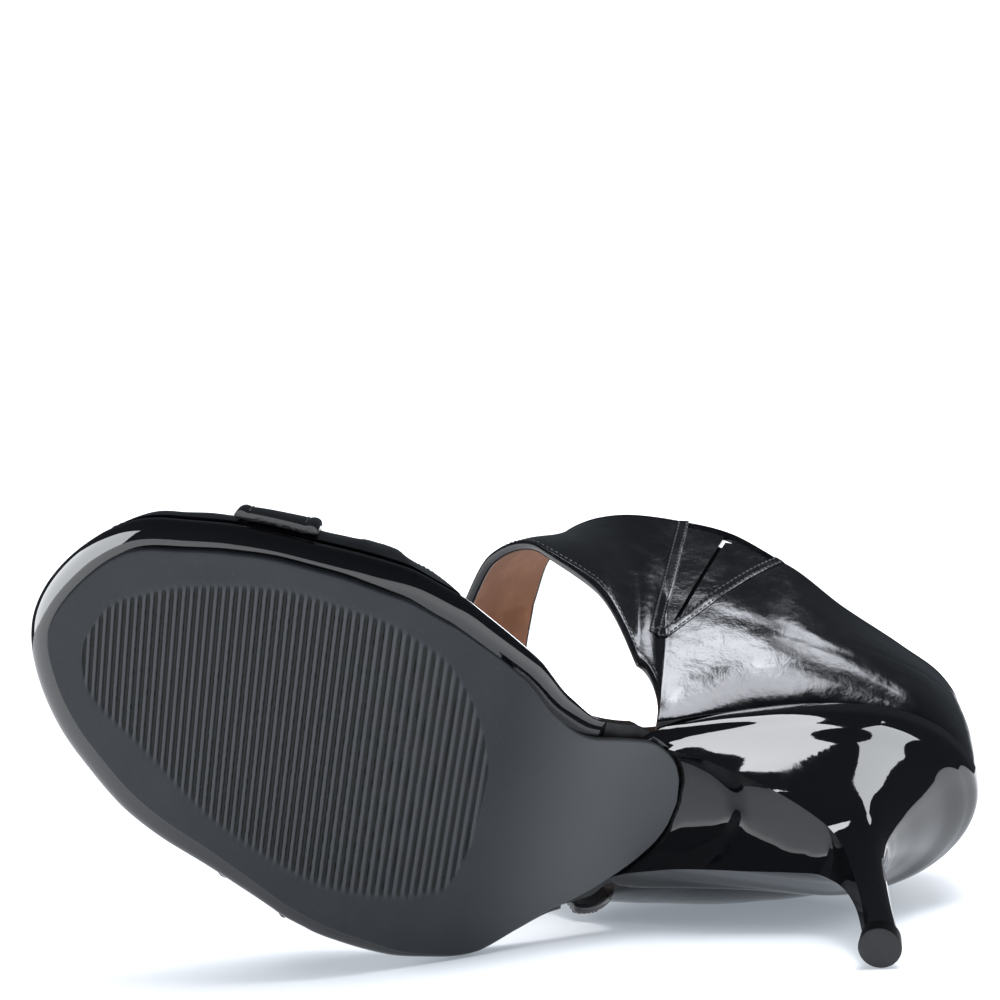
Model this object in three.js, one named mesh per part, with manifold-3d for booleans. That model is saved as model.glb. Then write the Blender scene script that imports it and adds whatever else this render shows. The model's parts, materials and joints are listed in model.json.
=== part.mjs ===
// High-heeled open-toe sandal, right foot, lying on its lateral side.
// Units are millimetres. The shoe's own frame has X towards the toe, Y towards the medial side
// and Z up, with the tread plane at Z = 0 and the back of the heel seat at X = 0.
import * as THREE from 'three';
import { mergeVertices } from 'three/addons/utils/BufferGeometryUtils.js';
import Module from 'manifold-3d';

const wasm = await Module();
wasm.setup();

// Driving dimensions
const length = 216;
const heelHeight = 82;
const ballWidth = 85;
const soleGap = 0.3;
const outsoleThickness = 1.6;
const platformThickness = 6.4;
const platformTopInset = 0.5;
const platformFoot = 0.88;
const platformWaist = 0.55;
const insoleThickness = 3;
const insoleRound = 0.8;
const shankInset = 0.4;
const upperWall = 2;
const upperGap = 0.3;
const tongueEnd = 69;
const tongueLength = 26;
const platformEnd = 87;
const topLiftRadius = 4.6;
const topLiftThickness = 5;
const topLiftDraft = 0.3;
const heelWidth = 49;
const bandArch = 36;
const bandSwell = 1;
const archPower = 0.85;
const bandFront = 207;
const bandRear = 119;
const bandToeCurve = 12;
const bandThroatCurve = 12;
const bandSkew = 14;
const loopWidth = 19;
const loopCentre = 165.5;
const loopSkew = 12;
const loopCurve = 8;
const loopThickness = 1.8;
const loopGap = 0.5;
const cuffRise = 70;
const cuffWidth = 80;
const cuffBulge = 6;
const cuffSag = 0.7;
const gussetSink = 0.6;
const gussetGap = 0.3;
const slitWidth = 1;
const notchWidth = 4;
const notchDepth = 4;
const notchRow = 6;

// Rise of the tread and shank surface, as shares of the length and of the heel height
const profileRows = [
  { at: -0.05, rise: 1.045 },
  { at: 0.0, rise: 1.012 },
  { at: 0.09, rise: 0.94 },
  { at: 0.18, rise: 0.855 },
  { at: 0.27, rise: 0.75 },
  { at: 0.34, rise: 0.645 },
  { at: 0.41, rise: 0.49 },
  { at: 0.48, rise: 0.32 },
  { at: 0.55, rise: 0.16 },
  { at: 0.61, rise: 0.05 },
  { at: 0.645, rise: 0.0145 },
  { at: 0.685, rise: 0.0 },
  { at: 0.78, rise: 0.0 },
  { at: 0.86, rise: 0.012 },
  { at: 0.94, rise: 0.04 },
  { at: 1.02, rise: 0.085 },
];

// Outline of the platform and heel seat, as shares of the length and of the ball width
const outlineRows = [
  { at: 0.0, centre: 0.036, half: 0.257 },
  { at: 0.06, centre: 0.022, half: 0.262 },
  { at: 0.12, centre: 0.01, half: 0.269 },
  { at: 0.209, centre: -0.011, half: 0.273 },
  { at: 0.292, centre: -0.048, half: 0.26 },
  { at: 0.348, centre: -0.08, half: 0.257 },
  { at: 0.408, centre: -0.1, half: 0.287 },
  { at: 0.44, centre: -0.094, half: 0.347 },
  { at: 0.48, centre: -0.065, half: 0.439 },
  { at: 0.525, centre: -0.014, half: 0.487 },
  { at: 0.56, centre: 0.026, half: 0.512 },
  { at: 0.61, centre: 0.076, half: 0.521 },
  { at: 0.66, centre: 0.103, half: 0.51 },
  { at: 0.72, centre: 0.129, half: 0.483 },
  { at: 0.78, centre: 0.151, half: 0.456 },
  { at: 0.85, centre: 0.167, half: 0.428 },
  { at: 0.92, centre: 0.193, half: 0.415 },
  { at: 1.0, centre: 0.19, half: 0.39 },
];
const seatRound = 0.12;
const toeRound = 0.8;
const toeExponent = 0.54;

// How far the rubber's edge lies inside the platform's outline, as shares of the length and of
// the ball width. The platform's lower edge is round from there to the outline.
const rubberRows = [
  { at: 0.3, medial: 0.026, lateral: 0.026 },
  { at: 0.42, medial: 0.054, lateral: 0.026 },
  { at: 0.5, medial: 0.058, lateral: 0.027 },
  { at: 0.56, medial: 0.064, lateral: 0.034 },
  { at: 0.62, medial: 0.06, lateral: 0.046 },
  { at: 0.69, medial: 0.046, lateral: 0.056 },
  { at: 0.745, medial: 0.043, lateral: 0.064 },
  { at: 0.8, medial: 0.052, lateral: 0.072 },
  { at: 0.86, medial: 0.06, lateral: 0.077 },
  { at: 0.93, medial: 0.066, lateral: 0.08 },
  { at: 0.98, medial: 0.077, lateral: 0.082 },
  { at: 1.0, medial: 0.078, lateral: 0.078 },
];

// Thickness of the platform along the shoe, as shares of the length and of its full thickness
const platformRows = [
  { at: 0.38, thick: 0.08 },
  { at: 0.41, thick: 0.2 },
  { at: 0.46, thick: 0.6 },
  { at: 0.52, thick: 0.95 },
  { at: 0.6, thick: 1.0 },
  { at: 1.0, thick: 1.0 },
];

// Rubber tongue on the shank, as shares of its length and of the ball width
const tongueRows = [
  { at: 0.0, centre: -0.05, half: 0.01 },
  { at: 0.03, centre: -0.05, half: 0.075 },
  { at: 0.12, centre: -0.053, half: 0.135 },
  { at: 0.3, centre: -0.066, half: 0.19 },
  { at: 0.6, centre: -0.095, half: 0.235 },
  { at: 1.0, centre: -0.115, half: 0.275 },
];

// Heel from the seat down to the tip, at its back and its breast. Reaches are shares of the
// length, heights shares of the heel height.
const heelRows = [
  { step: 0, back: -0.001, backUp: 1.08, front: 0.4, frontUp: 0.72 },
  { step: 1, back: 0.002, backUp: 1.0, front: 0.39, frontUp: 0.6 },
  { step: 2, back: 0.014, backUp: 0.94, front: 0.355, frontUp: 0.59 },
  { step: 3, back: 0.038, backUp: 0.85, front: 0.315, frontUp: 0.57 },
  { step: 4, back: 0.058, backUp: 0.75, front: 0.274, frontUp: 0.535 },
  { step: 5, back: 0.074, backUp: 0.66, front: 0.232, frontUp: 0.51 },
  { step: 6, back: 0.085, backUp: 0.58, front: 0.192, frontUp: 0.495 },
  { step: 7, back: 0.091, backUp: 0.51, front: 0.162, frontUp: 0.475 },
  { step: 8, back: 0.092, backUp: 0.42, front: 0.142, frontUp: 0.415 },
  { step: 9, back: 0.0875, backUp: 0.3, front: 0.126, frontUp: 0.3 },
  { step: 10, back: 0.081, backUp: 0.16, front: 0.114, frontUp: 0.16 },
  { step: 11, back: 0.072, backUp: 0, front: 0.106, frontUp: 0 },
];

// Heel's half widths at the middle and the front as shares of the heel width, the scoop of its
// breast as a share of the length, and how far it follows the seat's own bend
const heelWidthRows = [
  { step: 0, half: 0.495, nose: 0.42, scoop: 0.06, sway: 1 },
  { step: 1, half: 0.49, nose: 0.41, scoop: 0.055, sway: 1 },
  { step: 2, half: 0.46, nose: 0.34, scoop: 0.05, sway: 0.9 },
  { step: 3, half: 0.39, nose: 0.3, scoop: 0.045, sway: 0.75 },
  { step: 4, half: 0.31, nose: 0.26, scoop: 0.035, sway: 0.55 },
  { step: 5, half: 0.24, nose: 0.22, scoop: 0.027, sway: 0.35 },
  { step: 6, half: 0.185, nose: 0.17, scoop: 0.018, sway: 0.2 },
  { step: 7, half: 0.14, nose: 0.125, scoop: 0.01, sway: 0.1 },
  { step: 8, half: 0.108, nose: 0.09, scoop: 0.004, sway: 0 },
  { step: 9, half: 0.085, nose: 0.05, scoop: 0, sway: 0 },
  { step: 10, half: 0.077, nose: 0.03, scoop: 0, sway: 0 },
  { step: 11, half: 0.075, nose: 0.02, scoop: 0, sway: 0 },
];

// Height of the forefoot band over the platform, as a share of the arch, and how it leans in
const bandRows = [
  { at: 0.46, arch: 1.12, lean: 0.7 },
  { at: 0.55, arch: 1.0, lean: 0.7 },
  { at: 0.65, arch: 0.85, lean: 0.82 },
  { at: 0.75, arch: 0.69, lean: 0.98 },
  { at: 0.85, arch: 0.57, lean: 1.12 },
  { at: 0.95, arch: 0.49, lean: 1.2 },
  { at: 1.0, arch: 0.47, lean: 1.2 },
];

// Cuff and counter, from the centre of the back to the centre of the front. Lengths along the
// shoe are shares of the length, sideways ones of the cuff width, towards the medial and the
// lateral side, and heights over the heel height are shares of the cuff's rise.
const cuffTopRows = [
  { row: 0, topX: 0.026, topIn: 0.0, topOut: 0.0, topUp: 0.78 },
  { row: 1, topX: 0.032, topIn: 0.11, topOut: 0.115, topUp: 0.76 },
  { row: 2, topX: 0.065, topIn: 0.22, topOut: 0.25, topUp: 0.7 },
  { row: 3, topX: 0.12, topIn: 0.3, topOut: 0.38, topUp: 0.63 },
  { row: 4, topX: 0.195, topIn: 0.385, topOut: 0.48, topUp: 0.58 },
  { row: 5, topX: 0.27, topIn: 0.455, topOut: 0.54, topUp: 0.64 },
  { row: 6, topX: 0.345, topIn: 0.475, topOut: 0.56, topUp: 0.76 },
  { row: 7, topX: 0.41, topIn: 0.455, topOut: 0.54, topUp: 0.82 },
  { row: 8, topX: 0.46, topIn: 0.43, topOut: 0.5, topUp: 0.85 },
  { row: 9, topX: 0.505, topIn: 0.38, topOut: 0.42, topUp: 0.88 },
  { row: 10, topX: 0.545, topIn: 0.28, topOut: 0.3, topUp: 0.92 },
  { row: 11, topX: 0.565, topIn: 0.15, topOut: 0.16, topUp: 0.95 },
  { row: 12, topX: 0.57, topIn: 0.0, topOut: 0.0, topUp: 0.97 },
];

// Lower edge of the cuff. The first rows stand on the seat's own outline, and the others are free.
const seatRows = 7;
const cuffLowRows = [
  { row: 0, lowX: 0.0 },
  { row: 1, lowX: 0.012 },
  { row: 2, lowX: 0.045 },
  { row: 3, lowX: 0.12 },
  { row: 4, lowX: 0.2 },
  { row: 5, lowX: 0.265 },
  { row: 6, lowX: 0.315 },
  { row: 7, lowX: 0.353 },
  { row: 8, lowX: 0.4, lowIn: 0.29, lowOut: 0.55, lowUp: -0.2 },
  { row: 9, lowX: 0.47, lowIn: 0.39, lowOut: 0.56, lowUp: 0.1 },
  { row: 10, lowX: 0.55, lowIn: 0.4, lowOut: 0.49, lowUp: 0.3 },
  { row: 11, lowX: 0.61, lowIn: 0.27, lowOut: 0.32, lowUp: 0.47 },
  { row: 12, lowX: 0.635, lowIn: 0.0, lowOut: 0.0, lowUp: 0.58 },
];

// Swell of the cuff between its edges, as shares of the bulge
const cuffSwellRows = [
  { row: 0, swellIn: 0.3, swellOut: 0.3 },
  { row: 1, swellIn: 0.25, swellOut: 0.15 },
  { row: 2, swellIn: 0.4, swellOut: 0.3 },
  { row: 3, swellIn: 0.7, swellOut: 0.9 },
  { row: 4, swellIn: 0.8, swellOut: 1.4 },
  { row: 5, swellIn: 0.8, swellOut: 1.65 },
  { row: 6, swellIn: 0.6, swellOut: 1.75 },
  { row: 7, swellIn: 0.45, swellOut: 1.65 },
  { row: 8, swellIn: 0.35, swellOut: 0.9 },
  { row: 9, swellIn: 0.3, swellOut: 0.3 },
  { row: 10, swellIn: 0.25, swellOut: 0.25 },
  { row: 11, swellIn: 0.2, swellOut: 0.2 },
  { row: 12, swellIn: 0.2, swellOut: 0.2 },
];

// Gusset in each side of the cuff: corners as shares of the length and of the cuff's rise
const gussetCorners = {
  apex: { at: 0.392, up: -0.03 },
  front: { at: 0.408, up: 1.1 },
  rear: { at: 0.257, up: 0.8 },
  slitFoot: { at: 0.376, up: 0.1 },
  slitTop: { at: 0.342, up: 0.9 },
};

// Materials
const rubber = new THREE.MeshStandardMaterial({ color: 0x2b2f36, roughness: 0.75 });
const patent = new THREE.MeshStandardMaterial({ color: 0x08090b, roughness: 0.08 });
const leather = new THREE.MeshStandardMaterial({ color: 0x0b0c0e, roughness: 0.22 });
const sock = new THREE.MeshStandardMaterial({ color: 0xb07a55, roughness: 0.7 });
const hardPlastic = new THREE.MeshStandardMaterial({ color: 0x0c0c0d, roughness: 0.35 });

/** Smooth interpolation of a table's column that doesn't overshoot its rows. */
function column(table, key, name) {
  const rows = table.filter((row) => name in row);
  const xs = rows.map((row) => row[key]);
  const ys = rows.map((row) => row[name]);
  const last = xs.length - 1;
  const secants = xs.slice(1).map((x, i) => (ys[i + 1] - ys[i]) / (x - xs[i]));
  const slopes = ys.map((y, i) => {
    if (i === 0) return secants[0];
    if (i === last) return secants[last - 1];
    const before = secants[i - 1];
    const after = secants[i];
    return before * after <= 0 ? 0 : (2 * before * after) / (before + after);
  });
  return (x) => {
    const t = Math.min(Math.max(x, xs[0]), xs[last]);
    let i = 0;
    while (i < last - 1 && t > xs[i + 1]) i += 1;
    const step = xs[i + 1] - xs[i];
    const s = (t - xs[i]) / step;
    const rise = ys[i] * (1 + 2 * s) * (1 - s) ** 2 + ys[i + 1] * s * s * (3 - 2 * s);
    const bend = slopes[i] * s * (1 - s) ** 2 - slopes[i + 1] * s * s * (1 - s);
    return rise + bend * step;
  };
}

const riseShare = column(profileRows, 'at', 'rise');
const centreShare = column(outlineRows, 'at', 'centre');
const halfShare = column(outlineRows, 'at', 'half');
const medialShare = column(rubberRows, 'at', 'medial');
const lateralShare = column(rubberRows, 'at', 'lateral');
const platformShare = column(platformRows, 'at', 'thick');
const archShare = column(bandRows, 'at', 'arch');
const leanPower = column(bandRows, 'at', 'lean');

/** Interpolated columns of a table by name, apart from its key. */
function columns(table, key) {
  const names = Object.keys(table[table.length - 1]).filter((name) => name !== key);
  return Object.fromEntries(names.map((name) => [name, column(table, key, name)]));
}

const cuffColumns = {
  ...columns(cuffTopRows, 'row'),
  ...columns(cuffLowRows, 'row'),
  ...columns(cuffSwellRows, 'row'),
};
const heelColumns = { ...columns(heelRows, 'step'), ...columns(heelWidthRows, 'step') };

/** Height of the tread and shank surface at x. */
function treadHeight(x) {
  return riseShare(x / length) * heelHeight;
}

/** Centre and half width of the platform's widest outline at x, rounded at seat and toe. */
function outline(x) {
  const t = x / length;
  let round = 1;
  if (t < seatRound) round = Math.sqrt(Math.max(0, 1 - ((seatRound - t) / seatRound) ** 2));
  if (t > toeRound) {
    round = Math.max(0, 1 - ((t - toeRound) / (1 - toeRound)) ** 2) ** toeExponent;
  }
  return { centre: centreShare(t) * ballWidth, half: halfShare(t) * ballWidth * round };
}

/** Point of the outline at x on one side, moved inwards square to the outline. */
function rim(x, side, inset) {
  const place = (along) => {
    const { centre, half } = outline(along);
    return new THREE.Vector2(along, centre + side * half);
  };
  const step = 0.05;
  const before = place(Math.max(x - step, 0));
  const after = place(Math.min(x + step, length));
  const along = after.sub(before).normalize();
  const inwards = new THREE.Vector2(side * along.y, -side * along.x);
  return place(x).addScaledVector(inwards, inset);
}

/** Inset of the rubber's edge from the outline at x on one side. */
function rubberInset(x, side) {
  const share = side > 0 ? medialShare : lateralShare;
  return share(x / length) * ballWidth;
}

/** Point at a height over the tread surface, measured square to it. */
function overTread(x, y, height) {
  const slope = (treadHeight(x + 0.5) - treadHeight(x - 0.5));
  const square = 1 / Math.hypot(1, slope);
  return new THREE.Vector3(x - slope * square * height, y, treadHeight(x) + square * height);
}

/** Height of the platform's underside over the tread surface. */
function platformBase() {
  return outsoleThickness + soleGap;
}

/** Height of the insole's underside over the tread surface at x. */
function insoleBase(x) {
  return platformBase() + platformShare(x / length) * platformThickness + soleGap;
}

/** Stations from 0 to 1 that crowd towards an end that is round. */
function stations(count, roundStart, roundEnd) {
  return Array.from({ length: count + 1 }, (_, i) => {
    const t = i / count;
    if (roundStart && roundEnd) return 0.5 - 0.5 * Math.cos(Math.PI * t);
    if (roundEnd) return Math.sin((Math.PI / 2) * t);
    if (roundStart) return 1 - Math.cos((Math.PI / 2) * t);
    return t;
  });
}

/** Geometry from points and triangles, with its faces turned outwards. */
function geometryFrom(points, triangles) {
  let volume = 0;
  for (const [a, b, c] of triangles) {
    volume += points[a].dot(new THREE.Vector3().crossVectors(points[b], points[c]));
  }
  const geometry = new THREE.BufferGeometry();
  const flat = points.flatMap((p) => [p.x, p.y, p.z]);
  const index = triangles.flatMap(([a, b, c]) => (volume > 0 ? [a, b, c] : [a, c, b]));
  geometry.setAttribute('position', new THREE.Float32BufferAttribute(flat, 3));
  geometry.setIndex(index);
  return geometry;
}

/** Solid through closed sections of equal count, with a fan over each end. */
function loft(sections) {
  const count = sections[0].length;
  const points = sections.flat();
  const triangles = [];
  for (let i = 0; i < sections.length - 1; i += 1) {
    for (let j = 0; j < count; j += 1) {
      const next = (j + 1) % count;
      const a = i * count + j;
      const b = i * count + next;
      triangles.push([a, b, b + count], [a, b + count, a + count]);
    }
  }
  for (const end of [0, sections.length - 1]) {
    const middle = new THREE.Vector3();
    sections[end].forEach((p) => middle.addScaledVector(p, 1 / count));
    points.push(middle);
    for (let j = 0; j < count; j += 1) {
      const a = end * count + j;
      const b = end * count + ((j + 1) % count);
      const hub = points.length - 1;
      triangles.push(end === 0 ? [b, a, hub] : [a, b, hub]);
    }
  }
  return geometryFrom(points, triangles);
}

/** Wall between an outer and an inner grid of points, closed round its free edges. */
function wall(outer, inner, ring) {
  const rows = outer.length;
  const cols = outer[0].length;
  const points = [...outer.flat(), ...inner.flat()];
  const side = rows * cols;
  const at = (i, j) => (i % rows) * cols + j;
  const triangles = [];
  const quad = (a, b, c, d) => triangles.push([a, b, c], [a, c, d]);
  const lastRow = ring ? rows : rows - 1;
  for (let i = 0; i < lastRow; i += 1) {
    for (let j = 0; j < cols - 1; j += 1) {
      quad(at(i, j), at(i + 1, j), at(i + 1, j + 1), at(i, j + 1));
      quad(side + at(i, j), side + at(i, j + 1), side + at(i + 1, j + 1), side + at(i + 1, j));
    }
    quad(at(i, 0), side + at(i, 0), side + at(i + 1, 0), at(i + 1, 0));
    const top = cols - 1;
    quad(at(i, top), at(i + 1, top), side + at(i + 1, top), side + at(i, top));
  }
  if (!ring) {
    for (let j = 0; j < cols - 1; j += 1) {
      quad(at(0, j), at(0, j + 1), side + at(0, j + 1), side + at(0, j));
      const end = rows - 1;
      quad(at(end, j), side + at(end, j), side + at(end, j + 1), at(end, j + 1));
    }
  }
  return geometryFrom(points, triangles);
}

/** Manifold solid from a closed geometry. */
function solid(geometry) {
  const merged = mergeVertices(geometry, 1e-5);
  const vertProperties = Float32Array.from(merged.attributes.position.array);
  const triVerts = Uint32Array.from(merged.index.array);
  return new wasm.Manifold(new wasm.Mesh({ numProp: 3, vertProperties, triVerts }));
}

/** Geometry from a manifold solid. */
function geometryOf(body) {
  const mesh = body.getMesh();
  const geometry = new THREE.BufferGeometry();
  const { numProp, vertProperties, triVerts } = mesh;
  const positions = [];
  for (let i = 0; i < vertProperties.length; i += numProp) {
    positions.push(vertProperties[i], vertProperties[i + 1], vertProperties[i + 2]);
  }
  geometry.setAttribute('position', new THREE.Float32BufferAttribute(positions, 3));
  geometry.setIndex(Array.from(triVerts));
  return geometry;
}

/** Slab over the tread surface. Each layer has an inset and a height, and a spare for narrow. */
function slab({ start, end, count, layers, narrow }) {
  const ts = stations(count, start <= 0, end >= length);
  return loft(ts.map((t) => {
    const x = THREE.MathUtils.lerp(start, end, t);
    const medial = [];
    const lateral = [];
    for (const { inset, spare, height } of layers) {
      const drawn = (side) => (inset instanceof Function ? inset(x, side) : inset);
      const pair = [1, -1].map((side) => rim(x, side, drawn(side)));
      if (narrow) narrow(pair, x, spare);
      const middle = (pair[0].y + pair[1].y) / 2;
      medial.push(overTread(pair[0].x, Math.max(pair[0].y, middle + 0.1), height(x)));
      lateral.push(overTread(pair[1].x, Math.min(pair[1].y, middle - 0.1), height(x)));
    }
    return [...medial, ...lateral.reverse()];
  }));
}

/**
 * Slab in the tread rubber's outline, with its round tongue on the shank. Each layer has a
 * height and a spare, which is how far it is drawn in from the rubber's own edge.
 */
function treadSlab(layers) {
  const centreOf = column(tongueRows, 'at', 'centre');
  const halfOf = column(tongueRows, 'at', 'half');
  const narrow = (pair, x, spare) => {
    const s = (x - tongueEnd) / tongueLength;
    if (s >= 1) return;
    const blend = THREE.MathUtils.smoothstep(s, 0.55, 1);
    const half = halfOf(s) * ballWidth - spare;
    pair.forEach((point, k) => {
      const wanted = centreOf(s) * ballWidth + (k === 0 ? half : -half);
      point.set(THREE.MathUtils.lerp(x, point.x, blend), THREE.MathUtils.lerp(wanted, point.y, blend));
    });
  };
  const drawn = layers.map(({ spare, height }) => {
    const inset = (x, side) => rubberInset(x, side) + spare;
    return { inset, spare, height };
  });
  return slab({ start: tongueEnd, end: length, count: 60, narrow, layers: drawn });
}

/** Tread rubber with a bevelled edge. */
function outsole() {
  const bevel = outsoleThickness * 0.45;
  return treadSlab([
    { spare: bevel, height: () => 0 },
    { spare: 0, height: () => bevel },
    { spare: 0, height: () => outsoleThickness },
  ]);
}

/** Room for the rubber's tongue in the heel's breast. */
function tongueSpace() {
  const spare = -soleGap * 2;
  const below = -heelHeight * 0.15;
  const space = treadSlab([
    { spare, height: () => below },
    { spare, height: () => platformBase() },
  ]);
  return solid(space).translate([-soleGap, 0, 0]);
}

/** Platform wrapped in patent, its lower edge round from the rubber's edge to the outline. */
function platform() {
  const roundSteps = 4;
  const reach = (x) => insoleBase(x) - soleGap - platformBase();
  const foot = Array.from({ length: roundSteps + 1 }, (_, i) => {
    const turn = (Math.PI / 2) * (i / roundSteps);
    const inwards = platformFoot * (1 - Math.sin(turn));
    const share = platformWaist * (1 - Math.cos(turn));
    return {
      inset: (x, side) => inwards * rubberInset(x, side),
      height: (x) => platformBase() + reach(x) * share,
    };
  });
  const top = { inset: platformTopInset, height: (x) => platformBase() + reach(x) };
  return slab({ start: platformEnd, end: length, count: 48, layers: [...foot, top] });
}

/** Insole board and sock, set in by the upper's wall that stands round it. */
function insole() {
  const full = upperWall + upperGap;
  const seatEnd = cuffColumns.lowX(seatRows) * length;
  const inset = (x, side) => {
    const bandEnd = bandRear - (side < 0 ? bandSkew : 0);
    const behind = 1 - THREE.MathUtils.smoothstep(x, seatEnd + full / 2, seatEnd + full * 2);
    const ahead = THREE.MathUtils.smoothstep(x, bandEnd - full * 2, bandEnd - full);
    return THREE.MathUtils.lerp(shankInset, full, Math.max(behind, ahead));
  };
  return slab({
    start: 0,
    end: length,
    count: 64,
    layers: [
      { inset, height: insoleBase },
      { inset, height: (x) => insoleBase(x) + insoleThickness - insoleRound },
      {
        inset: (x, side) => inset(x, side) + insoleRound,
        height: (x) => insoleBase(x) + insoleThickness,
      },
    ],
  });
}

/** Space over the seat's underside, which the heel's top is cut by. */
function seatSpace() {
  const margin = -cuffWidth * 0.15;
  const above = heelHeight * 0.3;
  return slab({
    start: 0,
    end: length,
    count: 64,
    layers: [
      { inset: margin, height: (x) => insoleBase(x) - soleGap },
      { inset: margin, height: (x) => insoleBase(x) + above },
    ],
  });
}

/** Stiletto heel: a cup under the seat, a scooped breast and a slim stem. */
function heel() {
  const tip = topLiftThickness + soleGap;
  const lastStep = heelRows.length - 1;
  const perRow = 2;
  const sideCount = 12;
  const frontCount = 8;
  const shoulder = 0.38;
  const taper = 1.5;
  const sections = [];
  for (let k = 0; k <= lastStep * perRow; k += 1) {
    const read = (name) => heelColumns[name](k / perRow);
    const [back, front, half, nose] = ['back', 'front', 'half', 'nose'].map(read);
    const [backUp, frontUp, scoop, sway] = ['backUp', 'frontUp', 'scoop', 'sway'].map(read);
    const place = (s, y) => {
      const x = THREE.MathUtils.lerp(back, front, s) * length;
      const height = THREE.MathUtils.lerp(backUp, frontUp, s) * (heelHeight - tip);
      const centre = sway * centreShare(x / length) * ballWidth;
      return new THREE.Vector3(x, centre + y * heelWidth, tip + height);
    };
    const widthAt = (s) => {
      if (s < shoulder) return half * Math.sqrt(Math.max(0, 1 - (1 - s / shoulder) ** 2));
      return THREE.MathUtils.lerp(half, nose, ((s - shoulder) / (1 - shoulder)) ** taper);
    };
    const shares = stations(sideCount, true, false).slice(1);
    const medial = shares.map((s) => place(s, widthAt(s)));
    const lateral = shares.map((s) => place(s, -widthAt(s))).reverse();
    const breast = Array.from({ length: frontCount - 1 }, (_, i) => {
      const across = 1 - (2 * (i + 1)) / frontCount;
      const drawn = (scoop * (1 - across * across)) / (front - back);
      return place(1 - drawn, widthAt(1) * across);
    });
    sections.push([place(0, 0), ...medial, ...breast, ...lateral]);
  }
  return geometryOf(solid(loft(sections)).subtract(solid(seatSpace())).subtract(tongueSpace()));
}

/** Top lift, a plain round of hard plastic under the stem. */
function topLift() {
  const lastRow = heelRows[heelRows.length - 1];
  const centre = ((lastRow.back + lastRow.front) / 2) * length;
  const narrow = topLiftRadius - topLiftDraft;
  const geometry = new THREE.CylinderGeometry(narrow, topLiftRadius, topLiftThickness, 28);
  geometry.rotateX(Math.PI / 2);
  geometry.translate(centre, 0, topLiftThickness / 2);
  return mergeVertices(geometry.deleteAttribute('normal').deleteAttribute('uv'), 1e-5);
}

/** Point of the forefoot band's skin at x, at a share across from medial to lateral. */
function bandPoint(x, across, lift) {
  const { centre, half } = outline(x);
  const angle = Math.PI * across;
  const arch = archShare(x / length) * bandArch + lift;
  const side = half + lift + bandSwell * Math.abs(Math.sin(2 * angle));
  const reach = Math.abs(Math.cos(angle)) ** leanPower(x / length);
  const y = centre + side * Math.sign(Math.cos(angle)) * reach;
  return overTread(x, y, insoleBase(x) + arch * Math.abs(Math.sin(angle)) ** archPower);
}

/** Wall over the forefoot between two edges given as functions of the share across. */
function overFoot({ front, rear, along, across, lift, thickness }) {
  const grid = (height) => Array.from({ length: along + 1 }, (_, i) => (
    Array.from({ length: across + 1 }, (__, j) => {
      const share = j / across;
      const x = THREE.MathUtils.lerp(front(share), rear(share), i / along);
      return bandPoint(x, share, height);
    })
  ));
  return wall(grid(lift), grid(lift - thickness), false);
}

/** Forefoot band, open at the toe and behind. */
function toeBand() {
  const front = (share) => bandFront - bandToeCurve * Math.sin(Math.PI * share) ** 0.8;
  const rear = (share) => bandRear + bandThroatCurve * Math.sin(Math.PI * share) - bandSkew * share;
  return overFoot({ front, rear, along: 18, across: 32, lift: 0, thickness: upperWall });
}

/** Loop that crosses over the band. */
function bandLoop() {
  const edgeAt = (offset) => (share) => (
    loopCentre + offset - loopSkew * share + loopCurve * Math.sin(Math.PI * share)
  );
  return overFoot({
    front: edgeAt(loopWidth / 2),
    rear: edgeAt(-loopWidth / 2),
    along: 6,
    across: 32,
    lift: loopGap + loopThickness,
    thickness: loopThickness,
  });
}

/** Lower and upper edge of the cuff at a row, on the medial side (1) or the lateral one (-1). */
function cuffEdges(row, side) {
  const read = (name) => cuffColumns[name](row);
  const sideways = side > 0 ? 'In' : 'Out';
  const top = new THREE.Vector3(
    read('topX') * length,
    side * read(`top${sideways}`) * cuffWidth,
    heelHeight + read('topUp') * cuffRise,
  );
  const lowX = read('lowX') * length;
  const seatX = Math.min(lowX, cuffColumns.lowX(seatRows) * length);
  const onSeat = rim(seatX, side, 0);
  const seated = overTread(onSeat.x, onSeat.y, insoleBase(seatX));
  const bulge = read(`swell${sideways}`) * cuffBulge;
  if (row <= seatRows) return { low: seated, top, bulge };
  const free = new THREE.Vector3(
    lowX,
    side * read(`low${sideways}`) * cuffWidth,
    heelHeight + read('lowUp') * cuffRise,
  );
  const blend = THREE.MathUtils.smoothstep(row, seatRows, seatRows + 1);
  return { low: seated.lerp(free, blend), top, bulge };
}

/** Points of the cuff's skin, moved inwards by a wall or a part of it. */
function cuffGrid(inward) {
  const lastRow = cuffTopRows.length - 1;
  const perRow = 3;
  const upward = 8;
  const half = lastRow * perRow;
  const ankle = new THREE.Vector2(length * 0.2, 0);
  const instep = new THREE.Vector2(length * 0.46, 0);
  return Array.from({ length: half * 2 }, (_, i) => {
    const side = i < half ? 1 : -1;
    const row = (i < half ? i : half * 2 - i) / perRow;
    const { low, top, bulge } = cuffEdges(row, side);
    return Array.from({ length: upward + 1 }, (__, j) => {
      const v = j / upward;
      const point = new THREE.Vector3().lerpVectors(low, top, v);
      const forward = (point.x - ankle.x) / (instep.x - ankle.x);
      const hub = ankle.clone().lerp(instep, THREE.MathUtils.clamp(forward, 0, 1));
      const out = new THREE.Vector2(point.x - hub.x, point.y - hub.y).normalize();
      const move = bulge * Math.sin(Math.PI * v ** cuffSag) - inward;
      return point.add(new THREE.Vector3(out.x * move, out.y * move, 0));
    });
  });
}

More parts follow.
